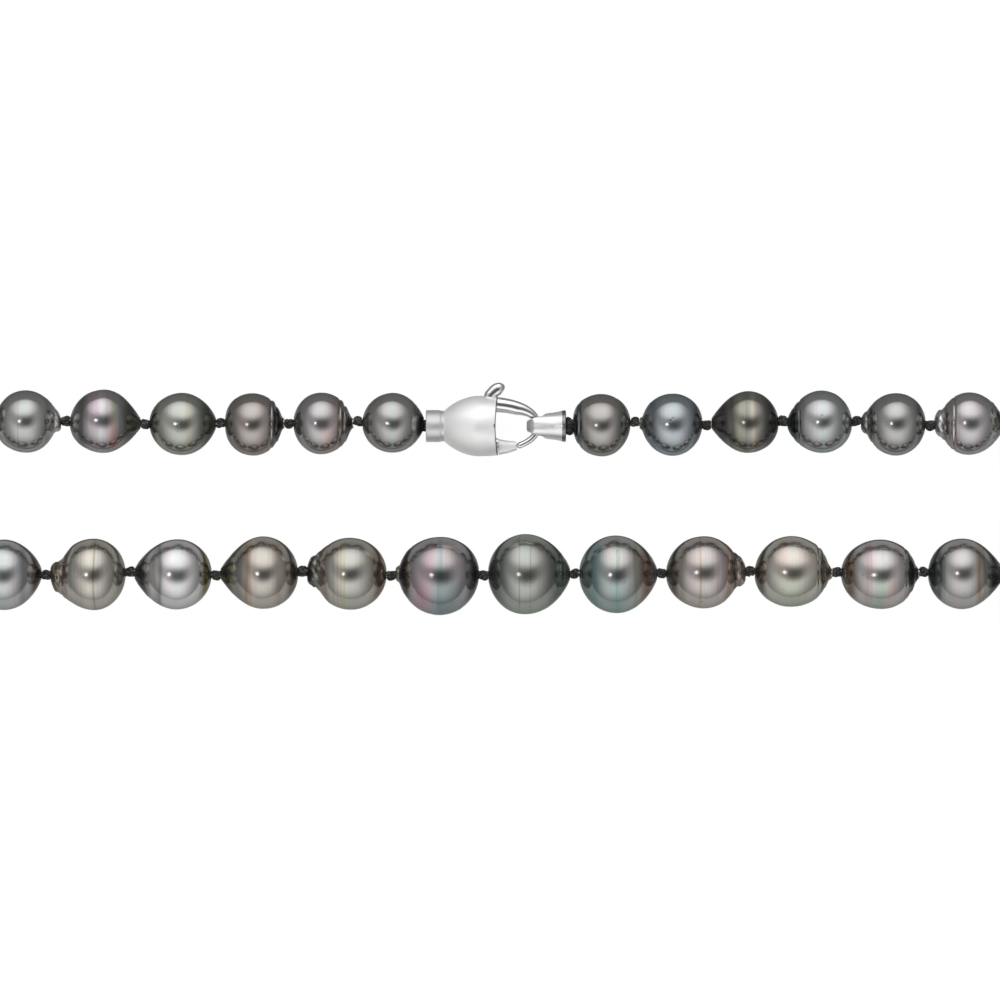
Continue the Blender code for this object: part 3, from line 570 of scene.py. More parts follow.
# %% The 24 pearls in the photo
Pearl = namedtuple("Pearl", "first last tone tint bands lines rings rough aside",
                   defaults=((), (), (), 0.0, (0.0, 0.0, 0.0)))
# bands: place, half width, tint, strength, and the side of the pearl, 0 for all round or
# +1 or -1 for the half towards +Y or -Y
# lines: place and strength; rings: place, depth in mm and half width
# aside: mm towards +Y of the body, the first end and the last end
PEARLS = {
    1: Pearl("taper", "round", "grey", (195, 195, 193),
             bands=((-0.84, 0.22, (84, 84, 84), 0.8, 0), (0.55, 0.2, (178, 168, 166), 0.5, 0)),
             lines=((0.38, 0.2), (-0.58, 0.25), (-0.70, 0.25), (-0.80, 0.3)),
             rings=((-0.70, 0.03, 0.02), (-0.80, 0.04, 0.02)), aside=(0.06, 0.0, 0.0)),
    2: Pearl("ringed", "round", "mauve", (198, 195, 196),
             bands=((-0.46, 0.12, (190, 166, 168), 0.5, 0), (-0.62, 0.10, (140, 116, 100), 0.8, 0),
                    (-0.25, 0.35, (208, 180, 172), 0.6, -1), (-0.88, 0.14, (92, 86, 80), 0.85, 0)),
             lines=((-0.56, 0.5), (-0.70, 0.5)), rough=0.05,
             rings=((-0.58, 0.10, 0.03), (-0.72, 0.16, 0.03), (-0.86, 0.08, 0.03))),
    3: Pearl("ringed", "blunt", "grey", (188, 179, 174),
             bands=((-0.80, 0.22, (60, 60, 58), 0.95, 0), (0.6, 0.25, (150, 148, 142), 0.5, 0)),
             lines=((-0.57, 0.7),), rough=0.09, aside=(-0.14, 0.0, 0.0),
             rings=((-0.58, 0.14, 0.035), (-0.74, 0.16, 0.04))),
    4: Pearl("taper", "round", "green", (197, 198, 190),
             bands=((-0.22, 0.06, (198, 192, 160), 0.6, 0), (-0.75, 0.3, (92, 96, 82), 0.85, 0),
                    (0.9, 0.14, (112, 108, 84), 0.9, 0)),
             lines=((0.1, 0.1), (-0.16, 0.12)), aside=(-0.1, 0.0, 0.0)),
    5: Pearl("drop", "round", "mauve", (196, 190, 194),
             bands=((0.64, 0.18, (112, 110, 104), 0.8, 0), (0.2, 0.22, (218, 192, 204), 0.7, 1),
                    (-0.28, 0.10, (176, 190, 164), 0.8, 0), (-0.30, 0.14, (206, 160, 160), 0.9, -1),
                    (0.05, 0.12, (224, 216, 222), 0.7, 0), (-0.72, 0.28, (92, 96, 88), 0.9, 0)),
             lines=((0.46, 0.4), (-0.12, 0.25), (-0.46, 0.35)), aside=(0.28, 0.0, 0.0)),
    6: Pearl("nub", "round", "grey", (201, 202, 200),
             bands=((-0.86, 0.18, (236, 234, 232), 0.9, 0), (-0.62, 0.06, (140, 140, 138), 0.5, 0)),
             lines=((0.21, 0.45),), rough=0.10, aside=(0.25, 0.3, 0.0)),
    15: Pearl("round", "taper", "charcoal", (210, 210, 212),
              bands=((0.88, 0.16, (104, 80, 76), 0.9, 0), (-0.7, 0.3, (110, 110, 112), 0.8, 0),
                     (0.55, 0.14, (132, 132, 134), 0.6, 0)),
              lines=((0.3, 0.1),), aside=(-0.16, 0.0, 0.0)),
    16: Pearl("knob", "round", "bronze", (204, 199, 190),
              bands=((-0.88, 0.12, (118, 110, 80), 0.9, 0), (-0.66, 0.10, (182, 160, 150), 0.8, 0),
                     (0.04, 0.03, (176, 150, 116), 0.8, 0), (-0.1, 0.10, (224, 218, 204), 0.5, 0)),
              lines=((-0.62, 0.25), (-0.5, 0.25), (-0.42, 0.25), (-0.34, 0.2), (-0.26, 0.15),
                     (0.05, 0.45)),
              rings=((-0.72, 0.06, 0.025),), rough=0.14, aside=(-0.08, -0.45, 0.0)),
    17: Pearl("slim", "round", "grey", (230, 228, 230),
              bands=((-0.82, 0.22, (66, 66, 64), 0.95, 0), (-0.50, 0.07, (196, 172, 168), 0.7, 0),
                     (-0.38, 0.07, (138, 138, 138), 0.8, 0), (0.86, 0.16, (150, 140, 78), 0.9, 0)),
              lines=((-0.43, 0.3),), rough=0.06, aside=(-0.08, 0.0, 0.0)),
    18: Pearl("drop", "round", "bronze", (207, 199, 190),
              bands=((-0.36, 0.07, (188, 152, 120), 0.8, 0), (-0.58, 0.16, (140, 142, 138), 0.8, 0),
                     (-0.86, 0.18, (76, 72, 62), 0.9, 0), (-0.22, 0.06, (226, 212, 196), 0.6, 0),
                     (0.45, 0.12, (176, 166, 152), 0.7, 0), (0.85, 0.2, (104, 102, 98), 0.7, 0)),
              lines=((-0.48, 0.25), (-0.42, 0.25), (-0.28, 0.2)), rough=0.04,
              aside=(0.12, 0.0, 0.0)),
    19: Pearl("knob", "round", "bronze", (201, 199, 190),
              bands=((-0.18, 0.09, (208, 204, 178), 0.7, 0), (-0.58, 0.12, (176, 152, 140), 0.8, 0),
                     (0.80, 0.2, (150, 116, 90), 0.8, 0), (-0.90, 0.16, (66, 66, 64), 0.95, 0)),
              lines=((-0.38, 0.45), (-0.28, 0.2), (-0.2, 0.25), (-0.12, 0.25)),
              rings=((-0.72, 0.06, 0.03),), rough=0.16, aside=(0.0, 0.4, 0.0)),
    20: Pearl("tip", "round", "charcoal", (194, 188, 192),
              bands=((-0.80, 0.14, (66, 60, 54), 0.95, 0), (-0.25, 0.16, (204, 180, 186), 0.8, 1),
                     (0.0, 0.05, (156, 174, 172), 0.8, 0), (0.22, 0.14, (208, 192, 186), 0.6, 1),
                     (-0.42, 0.2, (206, 160, 172), 0.9, -1), (0.85, 0.2, (84, 86, 86), 0.8, 0),
                     (-0.97, 0.05, (206, 200, 188), 0.9, 0),
                     (0.15, 0.5, (110, 142, 142), 0.65, -1)),
              lines=((-0.05, 0.2), (0.05, 0.2)), rough=0.04, aside=(-0.28, 0.0, 0.0)),
    21: Pearl("round", "taper", "green", (182, 184, 178),
              bands=((-0.75, 0.3, (108, 112, 110), 0.7, 0), (0.72, 0.3, (108, 112, 110), 0.85, 0)),
              lines=((-0.16, 0.6), (0.12, 0.5), (0.86, 0.4)), aside=(-0.08, 0.0, 0.0),
              rings=((0.86, 0.05, 0.03), (0.76, 0.03, 0.02))),
    22: Pearl("round", "taper", "green", (203, 202, 199),
              bands=((-0.62, 0.30, (124, 154, 156), 0.85, 0), (0.02, 0.05, (166, 182, 176), 0.6, 0),
                     (0.46, 0.06, (160, 170, 130), 0.7, 0), (0.72, 0.22, (142, 100, 86), 0.88, 0),
                     (0.2, 0.12, (212, 202, 198), 0.5, 0), (0.0, 0.6, (146, 174, 174), 0.75, -1)),
              lines=((0.0, 0.35), (0.06, 0.2)), aside=(-0.08, 0.0, 0.0)),
    23: Pearl("round", "knob", "bronze", (208, 199, 196),
              bands=((-0.82, 0.16, (100, 96, 84), 0.9, 0), (-0.6, 0.12, (168, 160, 140), 0.7, 0),
                     (-0.12, 0.06, (196, 184, 160), 0.6, 0), (0.58, 0.10, (186, 156, 140), 0.8, 0),
                     (0.73, 0.05, (70, 60, 56), 0.9, 0), (0.86, 0.08, (128, 104, 92), 0.8, 0)),
              lines=((-0.12, 0.55), (0.3, 0.12), (0.45, 0.12), (0.72, 0.5)),
              rings=((0.70, 0.06, 0.03), (0.94, 0.05, 0.03)), rough=0.08, aside=(0.2, 0.0, 0.3)),
    24: Pearl("round", "ringed", "green", (222, 212, 203),
              bands=((-0.85, 0.16, (96, 90, 72), 0.9, 0), (0.1, 0.3, (220, 200, 190), 0.7, -1),
                     (-0.3, 0.2, (218, 196, 182), 0.5, 1), (0.0, 0.9, (176, 194, 176), 0.6, -1),
                     (0.74, 0.05, (84, 78, 72), 0.85, 0), (0.90, 0.07, (176, 142, 124), 0.8, 0)),
              lines=((0.64, 0.5), (0.80, 0.5)), rough=0.05, aside=(0.28, 0.0, 0.2),
              rings=((0.66, 0.12, 0.03), (0.80, 0.10, 0.025), (0.92, 0.05, 0.02))),
    25: Pearl("round", "ringed", "green", (216, 210, 210),
              bands=((-0.8, 0.18, (128, 98, 78), 0.9, 0), (-0.36, 0.12, (206, 172, 176), 0.7, 0),
                     (-0.05, 0.32, (170, 192, 172), 0.7, -1), (0.2, 0.2, (214, 190, 182), 0.6, -1),
                     (0.5, 0.1, (192, 188, 178), 0.5, 0), (0.80, 0.18, (76, 78, 76), 0.9, 0)),
              lines=((-0.28, 0.2), (0.0, 0.1), (0.62, 0.5)), rough=0.06, aside=(-0.08, 0.0, 0.0),
              rings=((0.64, 0.10, 0.03), (0.78, 0.10, 0.03), (0.90, 0.05, 0.03))),
    26: Pearl("round", "drop", "charcoal", (200, 197, 196),
              bands=((-0.70, 0.12, (88, 98, 104), 0.9, 0), (-0.9, 0.14, (58, 58, 60), 0.95, 0),
                     (0.38, 0.06, (182, 152, 112), 0.85, 0), (0.50, 0.05, (136, 152, 126), 0.7, 0),
                     (0.75, 0.2, (64, 66, 68), 0.95, 0)),
              lines=((-0.56, 0.5), (0.34, 0.2))),
    36: Pearl("taper", "knob", "grey", (208, 202, 205),
              bands=((-0.85, 0.14, (150, 160, 152), 0.8, 0), (0.58, 0.10, (198, 192, 180), 0.8, 0),
                     (0.70, 0.04, (120, 112, 100), 0.7, 0), (0.9, 0.16, (244, 244, 246), 0.9, 0)),
              lines=((0.44, 0.95), (0.56, 0.3), (0.68, 0.5)), aside=(-0.04, 0.0, 0.0),
              rings=((0.45, 0.10, 0.02), (0.56, 0.05, 0.02), (0.70, 0.08, 0.03)), rough=0.12),
    37: Pearl("round", "nub", "grey", (192, 192, 190),
              bands=((0.72, 0.07, (58, 64, 54), 0.9, 0), (0.90, 0.08, (158, 156, 140), 0.7, 0),
                     (-0.8, 0.2, (110, 110, 110), 0.7, 0)),
              lines=((0.64, 0.5), (0.82, 0.4)), rough=0.08, aside=(-0.12, 0.0, 0.1),
              rings=((0.66, 0.06, 0.02), (0.84, 0.05, 0.02))),
    38: Pearl("round", "taper", "blue", (204, 206, 207),
              bands=((0.84, 0.20, (58, 64, 70), 0.95, 0), (0.58, 0.06, (140, 144, 148), 0.5, 0)),
              lines=((0.66, 0.7), (0.2, 0.1)), rings=((0.67, 0.10, 0.025), (0.84, 0.06, 0.03)),
              rough=0.03, aside=(0.2, 0.0, 0.0)),
    39: Pearl("round", "drop", "charcoal", (160, 156, 149),
              bands=((0.26, 0.09, (170, 174, 148), 0.8, 0), (-0.14, 0.10, (198, 192, 172), 0.8, 0),
                     (0.70, 0.20, (70, 68, 64), 0.85, 0), (0.92, 0.07, (140, 118, 106), 0.7, 0),
                     (-0.7, 0.3, (78, 78, 76), 0.85, 0), (0.45, 0.08, (92, 92, 84), 0.6, 0)),
              lines=((0.08, 0.6), (0.03, 0.3)), aside=(0.16, 0.0, 0.0)),
    40: Pearl("round", "tip", "blue", (190, 196, 201),
              bands=((0.62, 0.16, (126, 136, 142), 0.7, 0), (0.93, 0.07, (150, 154, 142), 0.8, 0),
                     (-0.8, 0.2, (100, 106, 112), 0.7, 0)),
              lines=((0.4, 0.15), (0.82, 0.4)), rough=0.06, aside=(-0.16, 0.0, 0.0)),
    41: Pearl("round", "blunt", "mauve", (186, 182, 178),
              bands=((0.86, 0.07, (104, 118, 120), 0.9, 0), (0.74, 0.05, (76, 80, 78), 0.8, 0),
                     (0.5, 0.1, (164, 166, 156), 0.5, 0), (-0.75, 0.25, (124, 130, 120), 0.7, 0)),
              lines=((0.78, 0.5),), rings=((0.78, 0.10, 0.03),), aside=(-0.25, 0.0, 0.0)),
}
print(len(PEARLS), "pearls described")

# %% [markdown]
# The two turns lie outside the photo. Their 17 pearls repeat the kinds that are in it.

# %% The 17 pearls of the turns
TURN_FORMS = (("round", "taper"), ("drop", "round"), ("nub", "round"), ("round", "ringed"))
TURN_TONES = (("grey", (200, 200, 198)), ("green", (198, 200, 192)), ("charcoal", (190, 188, 188)),
              ("bronze", (204, 198, 188)), ("blue", (192, 197, 201)))
for start, count in ((7, 8), (27, 9)):
    for step in range(count):
        first, last = TURN_FORMS[step % 4]
        tone, tint = TURN_TONES[step % 5]
        lean = 0.3 * math.sin(2.4 * step)
        PEARLS[start + step] = Pearl(
            first, last, tone, tint,
            bands=((-0.85, 0.18, (96, 92, 84), 0.8, 0), (lean, 0.12, (208, 188, 184), 0.5, 0),
                   (lean + 0.3, 0.08, (164, 176, 160), 0.5, 0), (0.85, 0.18, (94, 90, 86), 0.8, 0)),
            lines=((lean - 0.15, 0.4), (lean + 0.1, 0.25)), rough=0.06,
            rings=((0.66, 0.10, 0.03), (0.80, 0.10, 0.03)) if last == "ringed" else (),
            aside=(0.15 * math.sin(1.7 * step), 0.0, 0.0))
print(len(PEARLS), "pearls in all")

# %% [markdown]
# A pearl's grid has a row for each place along its outline and four more that lead back
# through the drilled hole, so that the skin closes on itself. The rows lie closer together
# towards both ends, where the outline turns fastest. A ball could be sculpted instead, but
# a formula keeps each pearl on its hole and gives the same pearl each time.

# %% Measures of the pearls
ALONG, AROUND = 128, 64
CAD_SIDES = 12
UP = np.array([0.0, 0.0, 1.0])

place = np.sin(np.linspace(-0.5 * math.pi, 0.5 * math.pi, ALONG))
OUTLINE = np.sign(place) * (1.0 - (1.0 - np.abs(place)) ** 0.85)
PLACES = np.concatenate([OUTLINE, [1.0, 1.0, -1.0, -1.0]])
TURN = np.linspace(0.0, 2.0 * math.pi, AROUND, endpoint=False)
SPOT, ANGLE = np.meshgrid(PLACES, TURN, indexing="ij")


def pearl_measures(number):
    """Centre, direction, radius and the two reaches of a CAD pearl."""
    joint = joint_named[f"pearl_{number:02d}_turn"]
    centre, way = np.array(joint["pos_m"]), np.array(joint["axis"])
    off = node_points(f"pearl_{number:02d}") - centre
    along = off @ way
    out = np.linalg.norm(off - np.outer(along, way), axis=1)
    facet = math.sqrt(2 * math.pi / CAD_SIDES / math.sin(2 * math.pi / CAD_SIDES))
    return centre, way, out.max() / facet, -along.min(), along.max()


measures = {number: pearl_measures(number) for number in sorted(PEARLS)}
print("pearl grid has", len(PLACES), "by", AROUND, "points")

# %% Shape of a pearl
BORE_STEP, BORE_LIP = 0.5 * MM, 0.04 * MM
PLAIN_ENDS = ("round", "blunt")


def bell(distance):
    """1 at zero, falling smoothly to nothing by about twice the width."""
    return np.exp(-(distance**2))


def pearl_radius(number):
    """Radius over the grid: the end form's, times one plus small waves round the hole and
    a finer crinkle towards a rough end, less a bell-shaped dip for each sunk ring, which
    wavers a little and is deeper on one side."""
    pearl, radius = PEARLS[number], measures[number][2]
    outer = np.where(OUTLINE < 0.0, end_radius(pearl.first, np.abs(OUTLINE), radius),
                     end_radius(pearl.last, np.abs(OUTLINE), radius))
    radii = np.concatenate([outer, [BORE + BORE_LIP, BORE, BORE, BORE + BORE_LIP]])
    inside = np.clip(1.0 - np.abs(SPOT), 0.0, 1.0) ** 0.5
    waves = (0.008 * np.cos(2.0 * ANGLE + number)
             + 0.005 * np.cos(3.0 * ANGLE + 4.0 * SPOT + 2.0 * number))
    rough = np.where(SPOT < 0.0, pearl.first not in PLAIN_ENDS, pearl.last not in PLAIN_ENDS)
    rough = pearl.rough * np.clip((np.abs(SPOT) - 0.60) / 0.2, 0.0, 1.0) * rough
    crinkle = np.sin(5.0 * ANGLE + 23.0 * SPOT + number) + 0.7 * np.sin(9.0 * ANGLE - 37.0 * SPOT)
    wide = radii[:, None] * (1.0 + (waves + 0.6 * rough * crinkle) * inside)
    for at, depth, width in pearl.rings:
        waver = at + 0.010 * np.sin(2.0 * ANGLE + 9.0 * at + number)
        swing = 1.0 + 0.5 * np.cos(ANGLE + 5.0 * at + number)
        wide -= depth * MM * bell((SPOT - waver) / width) * swing
    wide[:ALONG] = np.maximum(wide[:ALONG], MOUTH)
    return wide


def pearl_points(number):
    """Points over the grid: along the outline, then back through the bore, each at its
    radius from the hole, and pushed aside by a share that fades towards the ends."""
    pearl = PEARLS[number]
    centre, way, _, back, front = measures[number]
    along = np.where(OUTLINE < 0.0, OUTLINE * back, OUTLINE * front)
    rows = np.concatenate([along, [front, front - BORE_STEP, BORE_STEP - back, -back]])
    side = np.cross(way, UP)
    outward = np.cos(TURN)[:, None] * UP + np.sin(TURN)[:, None] * side
    points = centre + rows[:, None, None] * way + pearl_radius(number)[..., None] * outward[None]
    tail = np.interp(np.abs(PLACES), [0.5, 0.8, 0.9, 1.0], [0.0, 1.0, 0.8, 0.0])
    body = np.interp(np.abs(PLACES), [0.0, 0.5, 0.9, 1.0], [1.0, 0.9, 0.25, 0.0])
    push = pearl.aside[0] * body + np.where(PLACES < 0.0, pearl.aside[1], pearl.aside[2]) * tail
    return points + (push * MM)[:, None, None] * side * np.sign(side[1] + 1e-9)


widest = max(measures, key=lambda number: measures[number][2])
print(f"widest is pearl {widest}, {2.0 * measures[widest][2] / MM:.1f} mm across")

# %% [markdown]
# The tint is worked out for every point of the same grid and kept with the mesh as an
# attribute, because no two pearls are banded alike and a material for each of them would
# repeat the same graph 41 times.

# %% Tint of a pearl
NACRE_LEVEL = 0.70
LINE_WIDTH, LINE_DEPTH = 0.014, 0.75
BORE_SHADE = 0.25


def linear(rgb):
    """A colour given as 0 to 255 on a screen, in the linear scale that shaders use."""
    share = np.array(rgb, dtype=float) / 255.0
    return np.where(share <= 0.04045, share / 12.92, ((share + 0.055) / 1.055) ** 2.4)


def pearl_tints(number):
    """A tint for each point: the body's, drawn towards each band's by a bell along the
    pearl, all round or on one side, then darkened along each growth line."""
    pearl = PEARLS[number]
    lateral = np.sin(ANGLE) * np.cross(measures[number][1], UP)[1]
    tint = np.broadcast_to(linear(pearl.tint), (*SPOT.shape, 3)).copy()
    for at, width, rgb, strength, half in pearl.bands:
        waver = SPOT + 0.02 * np.sin(3.0 * ANGLE + at * 20.0)
        weight = strength * bell((waver - at) / (0.8 * width))
        if half:
            weight = weight * np.clip(0.5 + 1.2 * half * lateral, 0.0, 1.0)
        tint += weight[..., None] * (linear(rgb) - tint)
    for at, strength in pearl.lines:
        waver = SPOT + 0.006 * np.sin(2.0 * ANGLE + 9.0 * at)
        weight = strength * bell((waver - at) / LINE_WIDTH)
        weight = weight * (0.75 + 0.25 * np.cos(3.0 * ANGLE + 11.0 * at))
        tint -= LINE_DEPTH * weight[..., None] * tint
    # Painted shade: the points inside the drilled hole are darkened
    tint[ALONG:] *= BORE_SHADE
    return NACRE_LEVEL * tint.reshape(-1, 3)


print("growth lines in all:", sum(len(pearl.lines) for pearl in PEARLS.values()))

# %% Make the pearls
for number in sorted(PEARLS):
    tone = PEARLS[number].tone
    shape = grid(pearl_points(number), wrap_rows=True)
    piece = make_piece(f"nacre_pearl_{number:02d}", shape, nacre[tone])
    tint = pearl_tints(number)
    colours = piece.data.color_attributes.new("tint", "FLOAT_COLOR", "POINT")
    rgba = np.hstack([tint, np.ones((len(tint), 1))])
    colours.data.foreach_set("color", rgba.astype(np.float32).ravel())
    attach(piece, f"bead_{number:02d}")
    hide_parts(f"pearl_{number:02d}")
print(len(PEARLS), "pearls made")

# %% [markdown]
# ## Silk
# The pearls are knotted on doubled black silk. The thread is a round tube whose radius
# carries three twisted plies. A knot is one overhand turn drawn tight: a trefoil curve
# with the same thread swept along it, squeezed into the gap between two pearls.

# %% Silk finish
FIBRES_ROUND, FIBRES_ALONG, FUZZ = 75.4, 400.0, 3600.0
SILK_DARK, SILK_PALE = (0.005, 0.005, 0.005, 1.0), (0.115, 0.112, 0.106, 1.0)

silk_finish, tree, shader = new_material("black_silk", 0.62, 0.0)
along, around = chart_places(tree)
fibre = sums(tree, "SINE", sums(tree, "ADD", product(tree, around, FIBRES_ROUND),
                                product(tree, along, FIBRES_ALONG)))
fuzz = noise(tree, tree.nodes.new("ShaderNodeTexCoord").outputs["Object"], FUZZ)
tree.links.new(blend(tree, ramp(tree, fuzz, 0.48, 0.66), SILK_DARK, SILK_PALE),
               shader.inputs["Base Color"])
add_bump(tree, shader, sums(tree, "ADD", fibre, product(tree, fuzz, 2.0)), 0.6, 0.03 * MM)
shader.inputs["Sheen Weight"].default_value = 0.25
shader.inputs["Sheen Roughness"].default_value = 0.4
print("silk finish ready")

# %% A twisted thread along a path
SILK = 0.36 * MM


def thread(path, radius, sides=18, plies=3, pitch=1.1 * MM, closed=False):
    """A tube round a path: at each point a ring in the plane across the path, its radius
    swollen three times round by the plies, which advance one turn in each pitch."""
    ahead = np.roll(path, -1, axis=0) - np.roll(path, 1, axis=0)
    if not closed:
        ahead = np.gradient(path, axis=0)
    ahead /= np.linalg.norm(ahead, axis=1)[:, None]
    flat = np.cross(ahead, np.array([0.13, 0.21, 1.0]))
    flat /= np.linalg.norm(flat, axis=1)[:, None]
    rise = np.cross(ahead, flat)
    steps = np.linalg.norm(np.diff(path, axis=0), axis=1)
    run = np.concatenate([[0.0], np.cumsum(steps)])
    turn = np.linspace(0.0, 2.0 * math.pi, sides, endpoint=False)
    twist = plies * (turn[None] - 2.0 * math.pi * run[:, None] / pitch / plies)
    ring = np.broadcast_to(radius, (len(path),))[:, None] * (1.0 + 0.12 * np.cos(twist))
    cos, sin = np.cos(turn)[None, :, None], np.sin(turn)[None, :, None]
    across = cos * flat[:, None] + sin * rise[:, None]
    return grid(path[:, None] + ring[..., None] * across, wrap_rows=closed)


def knot(centre, way, size, spin, depth=0.31):
    """An overhand knot: the trefoil (sin t + 2 sin 2t, cos t - 2 cos 2t, -sin 3t), its
    axis along the strand, which the depth draws tighter or looser."""
    t = np.linspace(0.0, 2.0 * math.pi, 66, endpoint=False)
    first, second = np.sin(t) + 2.0 * np.sin(2.0 * t), np.cos(t) - 2.0 * np.cos(2.0 * t)
    side = np.cross(way, UP)
    cos, sin = math.cos(spin), math.sin(spin)
    level, raised = cos * first - sin * second, sin * first + cos * second
    path = centre + size * (0.135 * (level[:, None] * side + raised[:, None] * UP)
                            - depth * np.sin(3.0 * t)[:, None] * way)
    return thread(path, 0.26 * size, sides=12, pitch=0.7 * MM, closed=True)


print("silk radius", SILK / MM, "mm")

# %% [markdown]
# Each of the twelve lengths of silk belongs to one span of the strand. A span's pearls
# hang from joints that name it as their parent, so the joints tell which pearls a length
# runs through. A knot at a fold goes with the span that the fold hangs from.

# %% Where each length of silk runs
span_of = {number: joint_named[f"pearl_{number:02d}_turn"]["parent"] for number in PEARLS}
parent_of = {joint["child"]: joint["parent"] for joint in frame["joints"]}
LAST = max(PEARLS)
# How far some knots sit to the +Y side of the thread, in mm, by the pearl before them
KNOT_ASIDE = {1: 0.25, 4: -0.1, 5: 0.35, 15: -0.2, 16: 0.3, 17: -0.2, 18: 0.35, 19: -0.2,
              20: -0.25, 22: 0.1, 23: 0.3, 24: 0.25, 25: 0.25, 36: -0.3, 37: 0.3, 38: 0.35,
              39: -0.2, 40: 0.15}


def pearl_ends(number):
    """The two mouths of a pearl on its axis."""
    centre, way, _, back, front = measures[number]
    return centre - way * back, centre + way * front


def knot_place(number):
    """The middle of the gap after a pearl, and the way through it."""
    before, after = pearl_ends(number)[1], pearl_ends(number + 1)[0]
    way = measures[number][1] + measures[number + 1][1]
    return 0.5 * (before + after), way / np.linalg.norm(way)


def holds_knot(span, number):
    """A knot between two spans goes with the one nearer the clasp."""
    beside = {span_of[number], span_of[number + 1]} - {span}
    return not beside or parent_of.get(beside.pop()) == span


runs = []
for number in range(1, LAST + 1):
    if number > 1 and span_of[number] == span_of[number - 1]:
        runs[-1].append(number)
    else:
        runs.append([number])
print(len(runs), "lengths of silk")

# %% [markdown]
# The two ends of the silk are tied round a small bar inside the collar and inside the
# tail. Each goes once round its bar and comes back to a last, larger knot at the cup's
# rim. The thread could end at the rim unseen, but then the clasp would hold nothing.

# %% The tied ends
BAR_LOOP, LOOP_RISE, LOOP_BACK = 0.81 * MM, 0.18, 0.35 * MM
SILK_STEP = 0.12 * MM
ALONG_X = np.array([1.0, 0.0, 0.0])


def tied_at(bar, x):
    """The place of the last knot: at x, on the middle line of an anchor bar."""
    low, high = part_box(bar)
    return np.array([x, 0.5 * (low[1] + high[1]), 0.5 * (low[2] + high[2])])


def bar_loop(node, knot_at, heading):
    """From a knot in the cup, once round the anchor bar and back beside the knot: a circle
    from 150 to -150 degrees that rises a little as it goes."""
    low, high = (np.array(corner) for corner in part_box(node))
    angle = np.radians(np.linspace(150.0, -150.0, 40))
    bar = 0.5 * (low + high)
    rise = LOOP_RISE * np.sin(0.5 * angle)
    rounds = np.stack([heading * np.cos(angle), np.sin(angle), rise], axis=1)
    middle = np.array([bar[0], bar[1], knot_at[2]])
    return np.concatenate([knot_at[None], middle + BAR_LOOP * rounds,
                           knot_at[None] - [0.0, LOOP_BACK, 0.0]])


def smooth_path(points):
    """The same path at even steps, straight between its points."""
    run = np.concatenate([[0.0], np.cumsum(np.linalg.norm(np.diff(points, axis=0), axis=1))])
    keep = np.concatenate([[True], np.diff(run) > 1e-9])
    even = np.linspace(0.0, run[-1], max(2, int(run[-1] / SILK_STEP)))
    return np.stack([np.interp(even, run[keep], points[keep][:, k]) for k in range(3)], axis=1)


collar_tie = tied_at("collar_bar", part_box("clasp_body")[0][0] + 0.15 * MM)
tail_tie = tied_at("tail_bar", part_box("tail_piece")[1][0] + 0.38 * MM)
print("ends tied at", np.round(collar_tie / MM, 2), "and", np.round(tail_tie / MM, 2))

# %% Make the silk
KNOT, COLLAR_KNOT, TAIL_KNOT = 1.06 * MM, 1.25 * MM, 1.85 * MM
KNOT_SPIN = 1.3

for run in runs:
    first, last = run[0], run[-1]
    span = span_of[first]
    spots = [number for number in range(max(1, first - 1), min(LAST - 1, last) + 1)
             if first <= number < last or holds_knot(span, number)]
    places = [knot_place(number) for number in spots]
    knots = [knot(at + [0.0, KNOT_ASIDE.get(number, 0.0) * MM, 0.0], way, KNOT, KNOT_SPIN * number)
             for (at, way), number in zip(places, spots)]
    points = np.array([end for number in run for end in pearl_ends(number)])
    if first - 1 in spots:
        points = np.concatenate([[places[0][0]], points])
    if last in spots:
        points = np.concatenate([points, [places[-1][0]]])
    if first == 1:
        points = np.concatenate([bar_loop("collar_bar", collar_tie, 1.0)[::-1], points])
        knots.append(knot(collar_tie, ALONG_X, COLLAR_KNOT, 0.4))
    if last == LAST:
        points = np.concatenate([points, bar_loop("tail_bar", tail_tie, -1.0)])
        knots.append(knot(tail_tie, ALONG_X, TAIL_KNOT, 1.1, 0.10))
    row = "turn" if "turn" in span else ("back" if measures[first][0][1] > 0.0 else "front")
    node = f"silk_{'clasp_span' if span == 'clasp' else span}_{row}"
    shape = joined([thread(smooth_path(points), SILK)] + knots)
    piece = make_piece(f"knotted_{node}", shape, silk_finish, close=True)
    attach(piece, span)
    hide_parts(node)
print("silk made, with", len(runs), "lengths")

# %% [markdown]
# ## Clasp
# The clasp is a hollow egg of polished white metal: a collar for the silk, a barrel with
# the lever's slot in its side, and a hook that carries the egg's outline on round the
# front. A lever with a thumb tab closes the hook from inside. All are turned or swept
# shapes, measured from the plane of the barrel's open front.
#
# The metal comes first. Polished by hand, it is never an even mirror: it is hazed in
# places and has very fine scratches along its length. One shared node group makes both,
# because a single roughness looks like plastic from close by.

# %% Node group for a hand polish
SMEARS, SCRATCHES = 340.0, (260.0, 5200.0, 5200.0)

